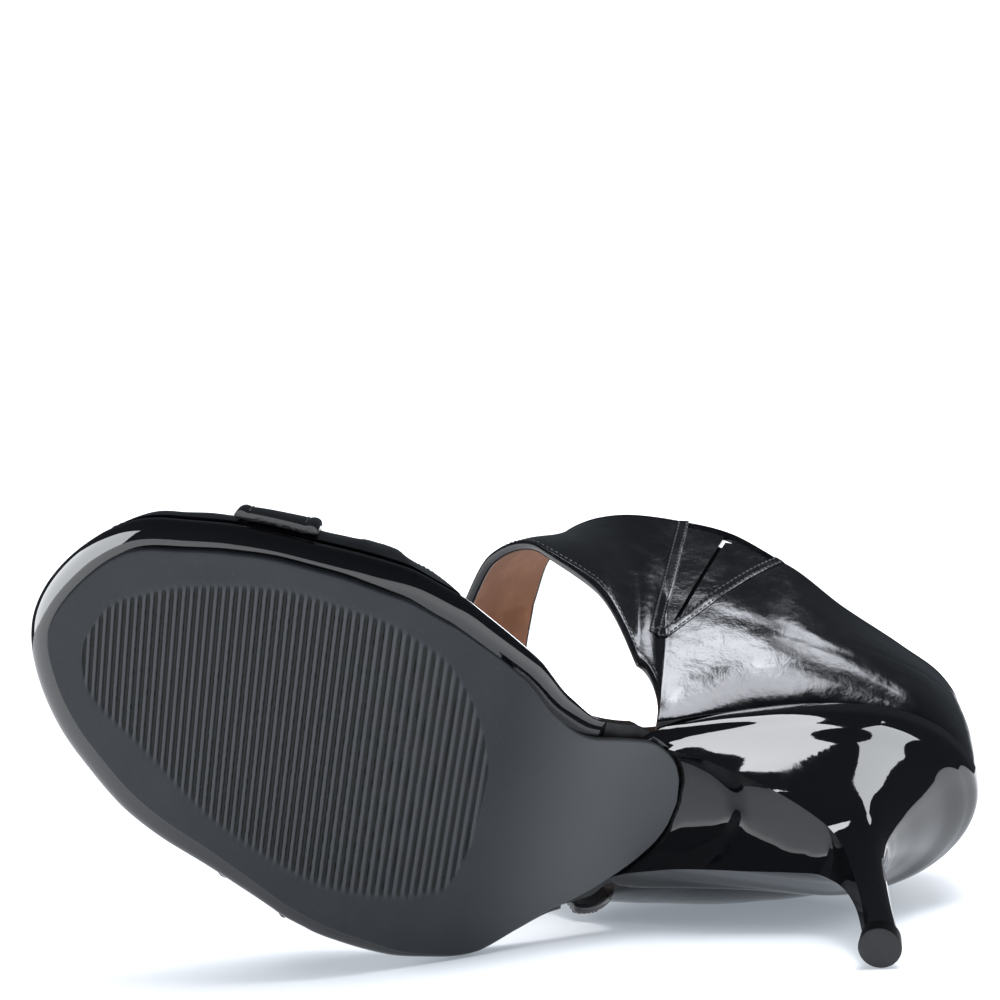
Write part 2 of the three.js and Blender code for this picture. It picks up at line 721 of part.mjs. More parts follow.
/** Prism across the shoe over an outline of points (x, z), between two distances sideways. */
function prism(corners, from, to) {
  const shape = new THREE.Shape(corners.map(([x, z]) => new THREE.Vector2(x, z)));
  const geometry = new THREE.ExtrudeGeometry(shape, { depth: to - from, bevelEnabled: false });
  geometry.rotateX(Math.PI / 2);
  geometry.translate(0, to, 0);
  return solid(geometry.deleteAttribute('normal').deleteAttribute('uv'));
}

/** Corner of the gusset in the side view. */
function gussetCorner(name) {
  const { at, up } = gussetCorners[name];
  return [at * length, heelHeight + up * cuffRise];
}

/** Ring of points (x, z) drawn in by a margin, with mitred corners. */
function drawnIn(ring, margin) {
  const count = ring.length;
  const inwards = (k) => {
    const [x0, z0] = ring[k % count];
    const [x1, z1] = ring[(k + 1) % count];
    return new THREE.Vector2(z0 - z1, x1 - x0).normalize();
  };
  return ring.map(([x, z], k) => {
    const before = inwards(k + count - 1);
    const after = inwards(k);
    const reach = margin / (1 + before.dot(after));
    return [x + (before.x + after.x) * reach, z + (before.y + after.y) * reach];
  });
}

/** Outline of the gusset, drawn in by a margin, with its top open to the collar. */
function gussetOutline(margin) {
  const [apex, front, rear] = ['apex', 'front', 'rear'].map(gussetCorner);
  const above = [front, rear].map(([x, z]) => [x, z + cuffRise]);
  return drawnIn([apex, front, ...above, rear], margin);
}

/** Cuff and counter as one wall, with a gusset let into each side. */
function cuffPieces() {
  const reach = cuffWidth;
  const body = solid(wall(cuffGrid(0), cuffGrid(upperWall), true));
  const open = prism(gussetOutline(0), -reach, reach);
  const thin = solid(wall(cuffGrid(gussetSink), cuffGrid(upperWall), true));
  const [footX, footZ] = gussetCorner('slitFoot');
  const [topX, topZ] = gussetCorner('slitTop');
  const slit = prism([
    [footX - slitWidth / 2, footZ],
    [footX + slitWidth / 2, footZ],
    [topX + slitWidth / 2, topZ],
    [topX - slitWidth / 2, topZ],
  ], -reach, reach);
  const notchX = cuffColumns.topX(notchRow) * length;
  const notchZ = heelHeight + cuffColumns.topUp(notchRow) * cuffRise;
  const notch = prism([
    [notchX - notchWidth / 4, notchZ - notchDepth],
    [notchX + notchWidth / 4, notchZ - notchDepth],
    [notchX + notchWidth / 2, notchZ + cuffRise],
    [notchX - notchWidth / 2, notchZ + cuffRise],
  ], -reach, reach);
  const inlay = (from, to) => geometryOf(
    thin.intersect(prism(gussetOutline(gussetGap), from, to)).subtract(slit).subtract(notch),
  );
  return {
    cuff: geometryOf(body.subtract(open)),
    medial: inlay(0, reach),
    lateral: inlay(-reach, 0),
  };
}

const shoe = new THREE.Group();
shoe.name = 'shoe';

/** Adds one named mesh to the shoe. */
function add(name, geometry, material) {
  const mesh = new THREE.Mesh(geometry, material);
  mesh.name = name;
  shoe.add(mesh);
}

add('outsole', outsole(), rubber);
add('platform', platform(), patent);
add('insole', insole(), sock);
add('heel', heel(), patent);
add('top_lift', topLift(), hardPlastic);
add('toe_band', toeBand(), leather);
add('band_loop', bandLoop(), leather);
const { cuff, medial, lateral } = cuffPieces();
add('ankle_cuff', cuff, leather);
add('gusset_medial', medial, leather);
add('gusset_lateral', lateral, leather);

/** Farthest vertex of a named mesh along a direction. */
function farthest(name, direction) {
  const { position } = shoe.getObjectByName(name).geometry.attributes;
  const best = new THREE.Vector3();
  let reach = -Infinity;
  for (let i = 0; i < position.count; i += 1) {
    const point = new THREE.Vector3().fromBufferAttribute(position, i);
    if (point.dot(direction) > reach) {
      reach = point.dot(direction);
      best.copy(point);
    }
  }
  return best;
}

/** Direction square to the floor on which top lift, platform and cuff rest, pointing down. */
function restingDown() {
  const rounds = 12;
  const down = new THREE.Vector3(0, -1, 0);
  for (let k = 0; k < rounds; k += 1) {
    const [a, b, c] = ['top_lift', 'platform', 'ankle_cuff'].map((name) => farthest(name, down));
    const square = new THREE.Vector3().crossVectors(b.sub(a), c.sub(a)).normalize();
    down.copy(square.y < 0 ? square : square.negate());
  }
  return down;
}

// The shoe lies on its lateral side with the toe along X, centred over the origin
const up = restingDown().negate();
const along = new THREE.Vector3(1, 0, 0).projectOnPlane(up).normalize();
const across = new THREE.Vector3().crossVectors(up, along);
shoe.setRotationFromMatrix(new THREE.Matrix4().makeBasis(along, across, up).transpose());
shoe.updateMatrixWorld(true);
const box = new THREE.Box3().setFromObject(shoe, true);
shoe.position.set(-(box.min.x + box.max.x) / 2, -(box.min.y + box.max.y) / 2, -box.min.z);

const group = new THREE.Group();
group.add(shoe);

export default group;
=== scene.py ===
"""Looks of a high-heeled open-toe sandal, a right shoe lying on its lateral side.

The shoe's own frame is in millimetres: X towards the toe, Y towards the medial side and Z up,
with the tread plane at Z = 0 and the back of the heel seat at X = 0. Every surface is worked
out there and then placed in the part's frame, in metres, with one rigid move.
"""
import json
import logging
from dataclasses import dataclass, field
from enum import Enum
from typing import Callable, Sequence

import bpy
import numpy as np
from mathutils import Euler, Matrix

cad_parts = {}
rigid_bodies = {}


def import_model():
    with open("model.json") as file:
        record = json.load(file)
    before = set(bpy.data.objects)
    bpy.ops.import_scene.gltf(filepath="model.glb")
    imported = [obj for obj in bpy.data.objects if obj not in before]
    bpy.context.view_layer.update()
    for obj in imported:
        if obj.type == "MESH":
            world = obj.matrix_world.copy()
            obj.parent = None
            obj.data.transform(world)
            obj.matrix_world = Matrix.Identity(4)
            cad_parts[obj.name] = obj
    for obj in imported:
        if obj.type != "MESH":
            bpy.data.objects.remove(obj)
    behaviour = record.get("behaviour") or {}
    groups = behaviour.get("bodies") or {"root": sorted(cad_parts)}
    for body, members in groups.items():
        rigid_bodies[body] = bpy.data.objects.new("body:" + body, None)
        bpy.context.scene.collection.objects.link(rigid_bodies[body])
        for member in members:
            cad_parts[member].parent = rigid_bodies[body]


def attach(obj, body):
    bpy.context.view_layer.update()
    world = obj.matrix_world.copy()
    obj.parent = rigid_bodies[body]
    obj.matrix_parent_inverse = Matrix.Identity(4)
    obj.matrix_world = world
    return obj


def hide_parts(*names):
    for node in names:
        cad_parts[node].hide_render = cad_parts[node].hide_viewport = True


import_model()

log = logging.getLogger("sandal")

LENGTH = 216.0
HEEL_HEIGHT = 82.0
BALL_WIDTH = 85.0
HEEL_WIDTH = 49.0
CUFF_WIDTH = 80.0
CUFF_RISE = 70.0
CUFF_BULGE = 6.0
CUFF_SAG = 0.7
SOLE_GAP = 0.3
RUBBER = 1.6
PLATFORM = 6.4
PLATFORM_TOP_INSET = 0.5
PLATFORM_FOOT = 0.88
PLATFORM_WAIST = 0.55
INSOLE = 3.0
INSOLE_ROUND = 0.8
SHANK_INSET = 0.4
WALL = 2.0
UPPER_GAP = 0.3
TONGUE_END = 69.0
TONGUE_LENGTH = 26.0
PLATFORM_END = 87.0
TIP_RADIUS = 4.6
TIP_HEIGHT = 5.0
TIP_DRAFT = 0.3
CUT_DEPTH = 0.15
ARCH = 36.0
ARCH_POWER = 0.85
SWELL = 1.0
BAND_FRONT = 207.0
BAND_REAR = 119.0
BAND_CURVE = 12.0
BAND_SKEW = 14.0
LOOP_WIDTH = 19.0
LOOP_CENTRE = 165.5
LOOP_SKEW = 12.0
LOOP_CURVE = 8.0
LOOP_THICK = 1.8
LOOP_GAP = 0.5
LOOP_STITCH_INSET = 3.1
GUSSET_SINK = 0.6
GUSSET_GAP = 0.3
SLIT = 1.0
NOTCH_WIDTH = 4.0
NOTCH_DEPTH = 4.0
NOTCH_ROW = 6.0
SEAT_ROWS = 7.0
SEAT_ROUND = 0.12
TOE_ROUND = 0.8
TOE_POWER = 0.54
PITCH = 1.73
RIB_DEPTH = 0.55
TAPE_STITCH = 0.95
FRONT_STITCH_INSET = 2.3
FRONT_STITCH_ROW = 7.6
FRONT_EDGE_ROW = 7.2
LAST_ROW = 12
TURNED_ROWS = (6.0, 10.9)

# Stitches of the cuff and of the band: pitch, length and radius of the thread
CUFF_STITCH = (1.75, 1.3, 0.24)
BAND_STITCH = (1.6, 1.15, 0.17)

# Turn and shift from the shoe's own frame to the part's frame, as it lies on the floor
TURN = np.array([
    [0.948876857, -0.304391253, -0.083538463],
    [0.0, 0.264658296, -0.964342256],
    [0.315646495, 0.915042049, 0.251128132],
])
SHIFT = np.array([-94.785771078, 67.488887978, -1.641233450])


class Curve:
    """Smooth curve through a table's rows that doesn't overshoot them."""

    def __init__(self, xs: Sequence[float], ys: Sequence[float]) -> None:
        """Takes the rows.

        Args:
            xs: places of the rows, growing.
            ys: values at the rows.
        """
        self.xs = np.asarray(xs, float)
        self.ys = np.asarray(ys, float)
        secant = np.diff(self.ys) / np.diff(self.xs)
        slope = np.empty_like(self.ys)
        slope[0], slope[-1] = secant[0], secant[-1]
        before, after = secant[:-1], secant[1:]
        total = before + after
        safe = np.where(total == 0, 1, total)
        slope[1:-1] = np.where(before * after <= 0, 0, 2 * before * after / safe)
        self.slope = slope

    def __call__(self, x: np.ndarray) -> np.ndarray:
        """Cubic between two rows from their values and slopes, flat outside the table.

        Args:
            x: places to read.

        Returns:
            Values there.
        """
        t = np.clip(np.asarray(x, float), self.xs[0], self.xs[-1])
        i = np.clip(np.searchsorted(self.xs, t, side="right") - 1, 0, len(self.xs) - 2)
        step = self.xs[i + 1] - self.xs[i]
        s = (t - self.xs[i]) / step
        rise = self.ys[i] * (1 + 2 * s) * (1 - s) ** 2 + self.ys[i + 1] * s * s * (3 - 2 * s)
        bend = self.slope[i] * s * (1 - s) ** 2 - self.slope[i + 1] * s * s * (1 - s)
        return rise + bend * step


def smooth(x: np.ndarray, low: float, high: float) -> np.ndarray:
    """Soft step from 0 at low to 1 at high."""
    t = np.clip((np.asarray(x, float) - low) / (high - low), 0, 1)
    return t * t * (3 - 2 * t)


def bump(x: np.ndarray, centre: float, width: float) -> np.ndarray:
    """Bell of height 1 about a centre, with the width as its half width."""
    return np.exp(-(((x - centre) / width) ** 2))


RISE = Curve(
    [-0.05, 0.0, 0.09, 0.18, 0.27, 0.34, 0.41, 0.48, 0.55, 0.61, 0.645, 0.685, 0.78, 0.86, 0.94, 1.02],
    [1.045, 1.012, 0.94, 0.855, 0.75, 0.645, 0.49, 0.32, 0.16, 0.05, 0.0145, 0.0, 0.0, 0.012, 0.04, 0.085],
)
OUTLINE_AT = [
    0.0, 0.06, 0.12, 0.209, 0.292, 0.348, 0.408, 0.44, 0.48,
    0.525, 0.56, 0.61, 0.66, 0.72, 0.78, 0.85, 0.92, 1.0,
]
CENTRE = Curve(OUTLINE_AT, [
    0.036, 0.022, 0.01, -0.011, -0.048, -0.08, -0.1, -0.094, -0.065,
    -0.014, 0.026, 0.076, 0.103, 0.129, 0.151, 0.167, 0.193, 0.19,
])
HALF = Curve(OUTLINE_AT, [
    0.257, 0.262, 0.269, 0.273, 0.26, 0.257, 0.287, 0.347, 0.439,
    0.487, 0.512, 0.521, 0.51, 0.483, 0.456, 0.428, 0.415, 0.39,
])
RUBBER_AT = [0.3, 0.42, 0.5, 0.56, 0.62, 0.69, 0.745, 0.8, 0.86, 0.93, 0.98, 1.0]
RUBBER_MEDIAL = Curve(
    RUBBER_AT, [0.026, 0.054, 0.058, 0.064, 0.06, 0.046, 0.043, 0.052, 0.06, 0.066, 0.077, 0.078])
RUBBER_LATERAL = Curve(
    RUBBER_AT, [0.026, 0.026, 0.027, 0.034, 0.046, 0.056, 0.064, 0.072, 0.077, 0.08, 0.082, 0.078])
PLATFORM_SHARE = Curve([0.38, 0.41, 0.46, 0.52, 0.6, 1.0], [0.08, 0.2, 0.6, 0.95, 1.0, 1.0])
TONGUE_AT = [0.0, 0.03, 0.12, 0.3, 0.6, 1.0]
TONGUE_CENTRE = Curve(TONGUE_AT, [-0.05, -0.05, -0.053, -0.066, -0.095, -0.115])
TONGUE_HALF = Curve(TONGUE_AT, [0.01, 0.075, 0.135, 0.19, 0.235, 0.275])
BAND_AT = [0.46, 0.55, 0.65, 0.75, 0.85, 0.95, 1.0]
BAND_ARCH = Curve(BAND_AT, [1.12, 1.0, 0.85, 0.69, 0.57, 0.49, 0.47])
BAND_LEAN = Curve(BAND_AT, [0.7, 0.7, 0.82, 0.98, 1.12, 1.2, 1.2])


class Side(Enum):
    """Side of the shoe."""

    MEDIAL = 1
    LATERAL = -1


class Last:
    """Forms that every piece of the shoe follows."""

    @staticmethod
    def tread(x: np.ndarray) -> np.ndarray:
        """Height of the tread and shank surface at x."""
        return RISE(np.asarray(x) / LENGTH) * HEEL_HEIGHT

    @staticmethod
    def outline(x: np.ndarray) -> tuple[np.ndarray, np.ndarray]:
        """Centre and half width of the widest outline at x, rounded at seat and toe.

        Args:
            x: places along the shoe.

        Returns:
            Centres and half widths.
        """
        t = np.asarray(x, float) / LENGTH
        seat = np.sqrt(np.clip(1 - ((SEAT_ROUND - t) / SEAT_ROUND) ** 2, 0, 1))
        toe = np.clip(1 - ((t - TOE_ROUND) / (1 - TOE_ROUND)) ** 2, 0, 1) ** TOE_POWER
        ends = np.where(t < SEAT_ROUND, seat, np.where(t > TOE_ROUND, toe, 1))
        return CENTRE(t) * BALL_WIDTH, HALF(t) * BALL_WIDTH * ends

    @staticmethod
    def rim(x: np.ndarray, side: int, inset: np.ndarray) -> tuple:
        """Point of the outline at x on one side, moved inwards square to the outline.

        Args:
            x: places along the shoe.
            side: 1 for medial, -1 for lateral.
            inset: distance inwards.

        Returns:
            X and Y of the points.
        """
        x = np.asarray(x, float)
        step = 0.05
        x0, x1 = np.maximum(x - step, 0), np.minimum(x + step, LENGTH)
        c0, h0 = Last.outline(x0)
        c1, h1 = Last.outline(x1)
        dx, dy = x1 - x0, (c1 + side * h1) - (c0 + side * h0)
        size = np.hypot(dx, dy)
        dx, dy = dx / size, dy / size
        centre, half = Last.outline(x)
        return x + side * dy * inset, centre + side * half - side * dx * inset

    @staticmethod
    def rubber_inset(x: np.ndarray, side: int) -> np.ndarray:
        """Inset of the rubber's edge from the outline at x on one side."""
        curve = RUBBER_MEDIAL if side > 0 else RUBBER_LATERAL
        return curve(np.asarray(x, float) / LENGTH) * BALL_WIDTH

    @staticmethod
    def over(x: np.ndarray, y: np.ndarray, height: np.ndarray) -> np.ndarray:
        """Points at a height over the tread surface, measured square to it.

        Args:
            x: places along the shoe.
            y: places sideways.
            height: height over the tread.

        Returns:
            Points with their last axis X, Y, Z.
        """
        x, y, height = np.broadcast_arrays(x, y, height)
        slope = Last.tread(x + 0.5) - Last.tread(x - 0.5)
        square = 1 / np.hypot(1, slope)
        return np.stack([x - slope * square * height, y, Last.tread(x) + square * height], -1)

    @staticmethod
    def base() -> float:
        """Height of the platform's underside over the tread."""
        return RUBBER + SOLE_GAP

    @staticmethod
    def insole(x: np.ndarray) -> np.ndarray:
        """Height of the insole's underside over the tread at x."""
        return Last.base() + PLATFORM_SHARE(np.asarray(x) / LENGTH) * PLATFORM + SOLE_GAP


def placed(points: np.ndarray) -> np.ndarray:
    """Points of the shoe's own frame in the part's frame, in metres."""
    return (points.reshape(-1, 3) @ TURN.T + SHIFT) / 1000.0


def make(name: str, points: np.ndarray, faces: list, material: bpy.types.Material | None,
         angle: float = 40.0) -> bpy.types.Object:
    """Object at the origin from points in the shoe's frame and lists of faces.

    Args:
        name: name of the piece.
        points: points in millimetres.
        faces: index lists, or an array of quads.
        material: its material, or None.
        angle: sharpest fold in degrees that is still shaded smooth.

    Returns:
        The object, linked to the scene.
    """
    mesh = bpy.data.meshes.new(name)
    mesh.from_pydata(placed(points), [], faces)
    mesh.validate()
    mesh.shade_smooth()
    mesh.set_sharp_from_angle(angle=np.radians(angle))
    thing = bpy.data.objects.new(name, mesh)
    bpy.context.scene.collection.objects.link(thing)
    if material:
        mesh.materials.append(material)
    return thing


def outwards(points: np.ndarray, quads: np.ndarray, fans: list) -> list:
    """Faces turned so that the closed form's volume is positive.

    Args:
        points: corner points.
        quads: quads as rows of indices.
        fans: further faces, as lists of indices.

    Returns:
        All faces, facing out.
    """
    a, b, c, d = (points[quads[:, k]] for k in range(4))
    volume = np.einsum("ij,ij->", a, np.cross(b, c)) + np.einsum("ij,ij->", a, np.cross(c, d))
    faces = quads if volume > 0 else quads[:, ::-1]
    ends = fans if volume > 0 else [face[::-1] for face in fans]
    return faces.tolist() + ends


def loft(sections: np.ndarray) -> tuple[np.ndarray, list]:
    """Closed form through rings of points, each end shut by one face.

    Args:
        sections: array of rings by points by 3.

    Returns:
        Points and faces.
    """
    rings, count, _ = sections.shape
    i, j = np.meshgrid(np.arange(rings - 1), np.arange(count), indexing="ij")
    nxt = (j + 1) % count
    quads = np.stack(
        [i * count + j, i * count + nxt, (i + 1) * count + nxt, (i + 1) * count + j], -1
    ).reshape(-1, 4)
    last = (rings - 1) * count
    fans = [list(range(count))[::-1], list(range(last, last + count))]
    points = sections.reshape(-1, 3)
    return points, outwards(points, quads, fans)


def ring_grid(grid: np.ndarray) -> tuple[np.ndarray, list]:
    """Closed form from a grid whose both directions close on themselves.

    Args:
        grid: array of rows by points by 3.

    Returns:
        Points and faces.
    """
    rows, count, _ = grid.shape
    i, j = np.meshgrid(np.arange(rows), np.arange(count), indexing="ij")
    a, b = (i + 1) % rows, (j + 1) % count
    quads = np.stack([i * count + j, i * count + b, a * count + b, a * count + j], -1)
    points = grid.reshape(-1, 3)
    return points, outwards(points, quads.reshape(-1, 4), [])


def stations(count: int, round_start: bool, round_end: bool) -> np.ndarray:
    """Steps from 0 to 1 that crowd towards an end that is round.

    Args:
        count: number of steps.
        round_start: crowd at 0.
        round_end: crowd at 1.

    Returns:
        The steps.
    """
    t = np.linspace(0, 1, count + 1)
    if round_start and round_end:
        return 0.5 - 0.5 * np.cos(np.pi * t)
    if round_end:
        return np.sin(np.pi / 2 * t)
    if round_start:
        return 1 - np.cos(np.pi / 2 * t)
    return t


def tongue_drawn(x: np.ndarray, px: np.ndarray, py: np.ndarray, side: int, spare: float) -> tuple:
    """Edge of the rubber with its rear end drawn in to the round tongue.

    Args:
        x: stations along the shoe.
        px: X of the outline's points.
        py: Y of the outline's points.
        side: 1 or -1.
        spare: distance outwards from the tongue's edge.

    Returns:
        X and Y of the drawn points.
    """
    s = (x - TONGUE_END) / TONGUE_LENGTH
    blend = smooth(s, 0.55, 1)
    half = TONGUE_HALF(s) * BALL_WIDTH + spare
    wanted = TONGUE_CENTRE(s) * BALL_WIDTH + side * half
    return x + (px - x) * blend, wanted + (py - wanted) * blend


def rubber_edge(x: np.ndarray, side: int, layer: tuple) -> tuple:
    """Edge of the rubber with its tongue, drawn in by the layer's first value."""
    px, py = Last.rim(x, side, Last.rubber_inset(x, side) + layer[0])
    return tongue_drawn(x, px, py, side, -layer[0])


def slab_sections(x: np.ndarray, edge: Callable, profile: Sequence, across: int,
                  lift: Callable | None = None, across_top: int | None = None) -> np.ndarray:
    """Rings of a slab over the tread: underside, medial side, top and lateral side.

    Args:
        x: stations along the shoe.
        edge: gives X and Y of a side's edge from (x, side, layer).
        profile: layers as (inset, height function), from the lowest to the top.
        across: points over the underside.
        lift: extra height of the underside's inner points, from (x, y).
        across_top: points over the top, as many as over the underside if left out.

    Returns:
        Array of rings by points by 3.
    """
    sides = {}
    for side in (1, -1):
        column = []
        for layer in profile:
            px, py = edge(x, side, layer)
            column.append((px, py, layer[1](x)))
        sides[side] = column

    def between(index: int, from_side: int, raised: Callable | None, count: int) -> np.ndarray:
        share = np.linspace(0, 1, count)[1:-1]
        x0, y0, h = sides[from_side][index]
        x1, y1, _ = sides[-from_side][index]
        px = x0[:, None] + (x1 - x0)[:, None] * share
        py = y0[:, None] + (y1 - y0)[:, None] * share
        height = h[:, None] + (raised(px, py) if raised else 0)
        return Last.over(px, py, np.broadcast_to(height, px.shape))

    medial = np.stack([Last.over(px, py, h) for px, py, h in sides[1]], 1)
    lateral = np.stack([Last.over(px, py, h) for px, py, h in sides[-1]], 1)
    top = between(len(profile) - 1, 1, None, across_top or across)
    under = between(0, -1, lift, across)
    return np.concatenate([medial, top, lateral[:, ::-1], under], 1)


@dataclass
class Outsole:
    """Tread rubber with its tongue, its bevelled edge and the ribs of the forefoot."""

    rows: int = 760
    across: int = 76
    across_top: int = 6
    medial: Curve = field(default_factory=lambda: Curve(
        [109.0, 111.0, 116.0, 125.0, 140.0, 155.5, 177.0, 190.0, 196.0, 201.0],
        [2.0, 11.0, 23.3, 35.0, 42.1, 43.1, 38.6, 32.5, 28.0, 17.0]))
    lateral: Curve = field(default_factory=lambda: Curve(
        [109.0, 110.0, 113.9, 121.0, 134.0, 142.7, 162.1, 183.1, 198.1, 201.0],
        [-4.0, -13.7, -24.7, -25.5, -24.3, -22.2, -15.6, -2.8, 6.6, 15.0]))

    def ribs(self, x: np.ndarray, y: np.ndarray) -> np.ndarray:
        """Grooves between ribs that fan out a little: a squared wave of x less a slant of y.

        Args:
            x: places along the shoe.
            y: places sideways.

        Returns:
            Height of the underside over the tread plane.
        """
        slant = 0.05 + 0.07 * (x - 110) / 90
        phase = (x - slant * y) / PITCH
        wave = np.cos(2 * np.pi * phase)
        groove = 0.5 - 0.5 * np.tanh(3.2 * wave) / np.tanh(3.2)
        return RIB_DEPTH * groove * self.ribbed(x, y)

    def ribbed(self, x: np.ndarray, y: np.ndarray) -> np.ndarray:
        """Share of the ribs at each place: 1 inside their field, fading to 0 at its rim."""
        inside = smooth(self.medial(x) - y, 0.0, 2.2) * smooth(y - self.lateral(x), 0.0, 2.2)
        return inside * smooth(x, 109.3, 110.5) * (1 - smooth(x, 199.8, 200.9))

    def build(self, finish: bpy.types.Material) -> bpy.types.Object:
        """Makes the ribbed rubber."""
        fine = TONGUE_END + (LENGTH - TONGUE_END) * stations(self.rows, False, False)
        round_end = LENGTH - 6 * (1 - np.sin(np.linspace(0, np.pi / 2, 40)))
        x = np.unique(np.concatenate([
            TONGUE_END + np.array([0, 0.02, 0.08, 0.18, 0.32, 0.5, 0.75]),
            fine[fine < LENGTH - 6], round_end,
        ]))
        bevel = RUBBER * 0.45
        profile = [
            (bevel * (1 - np.sin(a)), bevel * (1 - np.cos(a))) for a in np.linspace(0, np.pi / 2, 6)
        ]
        profile.append((0.0, RUBBER))
        layers = [(spare, (lambda h: lambda px: np.full_like(px, h))(up)) for spare, up in profile]
        sections = slab_sections(x, rubber_edge, layers, self.across, self.ribs, self.across_top)
        points, faces = loft(sections)
        thing = make("tread_rubber", points, faces, finish, 50)
        # Painted shade mask: depth share of the grooves, which darkens them in the rubber's colour.
        groove = self.ribs(points[:, 0], points[:, 1]) / RIB_DEPTH
        groove[points[:, 2] - Last.tread(points[:, 0]) > RUBBER * 0.7] = 0
        ribbed = self.ribbed(points[:, 0], points[:, 1])
        # Painted highlight mask: the ridge tops of the ribs, paled in the rubber's colour.
        ridge = ribbed * np.clip(1 - 2.5 * groove, 0, 1)
        # Painted sheen mask: the unribbed waist, paled in the rubber's colour.
        waist = 1 - smooth(points[:, 0], 82, 110)
        for name, values in (("groove", groove), ("ridge", ridge), ("waist", waist)):
            thing.data.attributes.new(name, "FLOAT", "POINT").data.foreach_set("value", values)
        return thing


@dataclass
class Platform:
    """Platform wrapped in patent, with a round lower edge."""

    rows: int = 300
    across: int = 8

    def build(self, finish: bpy.types.Material) -> bpy.types.Object:
        """Makes the platform: its edge follows the layers of a rounded rand."""
        turns = np.linspace(0, np.pi / 2, 14)
        rounds = [(PLATFORM_FOOT * (1 - np.sin(a)), PLATFORM_WAIST * (1 - np.cos(a)), 0.0) for a in turns]
        top = [(0.0, PLATFORM_WAIST + (1 - PLATFORM_WAIST) * q, PLATFORM_TOP_INSET * q ** 1.5)
               for q in (0.25, 0.5, 0.75, 1.0)]

        def height(share: float) -> Callable:
            return lambda x: Last.base() + (Last.insole(x) - SOLE_GAP - Last.base()) * share

        layers = [((share, inset), height(up)) for share, up, inset in rounds + top]
        x = PLATFORM_END + (LENGTH - PLATFORM_END) * stations(self.rows, False, True)

        def edge(px: np.ndarray, side: int, layer: tuple) -> tuple:
            share, inset = layer[0]
            return Last.rim(px, side, share * Last.rubber_inset(px, side) + inset)

        points, faces = loft(slab_sections(x, edge, layers, self.across))
        return make("platform_wrap", points, faces, finish, 60)


@dataclass
class Insole:
    """Insole board with the lining sock on top and a painted edge."""

    rows: int = 320
    across: int = 30

    def inset(self, x: np.ndarray, side: int) -> np.ndarray:
        """Distance from the outline: full where the upper's wall stands round the insole."""
        full = WALL + UPPER_GAP
        seat = CUFF["lowX"](SEAT_ROWS) * LENGTH
        band = BAND_REAR - (BAND_SKEW if side < 0 else 0)
        behind = 1 - smooth(x, seat + full / 2, seat + full * 2)
        ahead = smooth(x, band - full * 2, band - full)
        return SHANK_INSET + (full - SHANK_INSET) * np.maximum(behind, ahead)

    def build(self, finish: bpy.types.Material, edge_finish: bpy.types.Material) -> bpy.types.Object:
        """Makes the insole with its sock and its painted edge."""
        x = LENGTH * stations(self.rows, True, True)
        arc = np.linspace(0, np.pi / 2, 6)
        steps = [(0.0, 0.0)] + [
            (INSOLE_ROUND * (1 - np.cos(a)), INSOLE - INSOLE_ROUND * (1 - np.sin(a))) for a in arc
        ]
        layers = [(more, (lambda up: lambda px: Last.insole(px) + up)(up)) for more, up in steps]

        def edge(px: np.ndarray, side: int, layer: tuple) -> tuple:
            ex, ey = Last.rim(px, side, self.inset(px, side) + layer[0])
            return ex, ey

        sections = slab_sections(x, edge, layers, self.across)
        points, faces = loft(sections)
        thing = make("insole_sock", points, faces, finish, 50)
        thing.data.materials.append(edge_finish)
        count = sections.shape[1]
        top = np.arange(len(layers) - 2, len(layers) + self.across - 2)
        index = np.array([0 if (p.vertices[0] % count) in top else 1 for p in thing.data.polygons])
        thing.data.polygons.foreach_set("material_index", index)
        return thing


HEEL_STEPS = list(range(12))
HEEL = {
    "back": Curve(HEEL_STEPS, [
        -0.001, 0.002, 0.014, 0.038, 0.058, 0.074, 0.085, 0.091, 0.092, 0.0875, 0.081, 0.072]),
    "backUp": Curve(HEEL_STEPS, [1.08, 1.0, 0.94, 0.85, 0.75, 0.66, 0.58, 0.51, 0.42, 0.3, 0.16, 0]),
    "front": Curve(HEEL_STEPS, [
        0.4, 0.39, 0.355, 0.315, 0.274, 0.232, 0.192, 0.162, 0.142, 0.126, 0.114, 0.106]),
    "frontUp": Curve(HEEL_STEPS, [0.72, 0.6, 0.59, 0.57, 0.535, 0.51, 0.495, 0.475, 0.415, 0.3, 0.16, 0]),
    "half": Curve(HEEL_STEPS, [
        0.495, 0.49, 0.46, 0.39, 0.31, 0.24, 0.185, 0.14, 0.108, 0.085, 0.077, 0.075]),
    "nose": Curve(HEEL_STEPS, [0.42, 0.41, 0.34, 0.3, 0.26, 0.22, 0.17, 0.125, 0.09, 0.05, 0.03, 0.02]),
    "scoop": Curve(HEEL_STEPS, [0.06, 0.055, 0.05, 0.045, 0.035, 0.027, 0.018, 0.01, 0.004, 0, 0, 0]),
    "sway": Curve(HEEL_STEPS, [1, 1, 0.9, 0.75, 0.55, 0.35, 0.2, 0.1, 0, 0, 0, 0]),
}


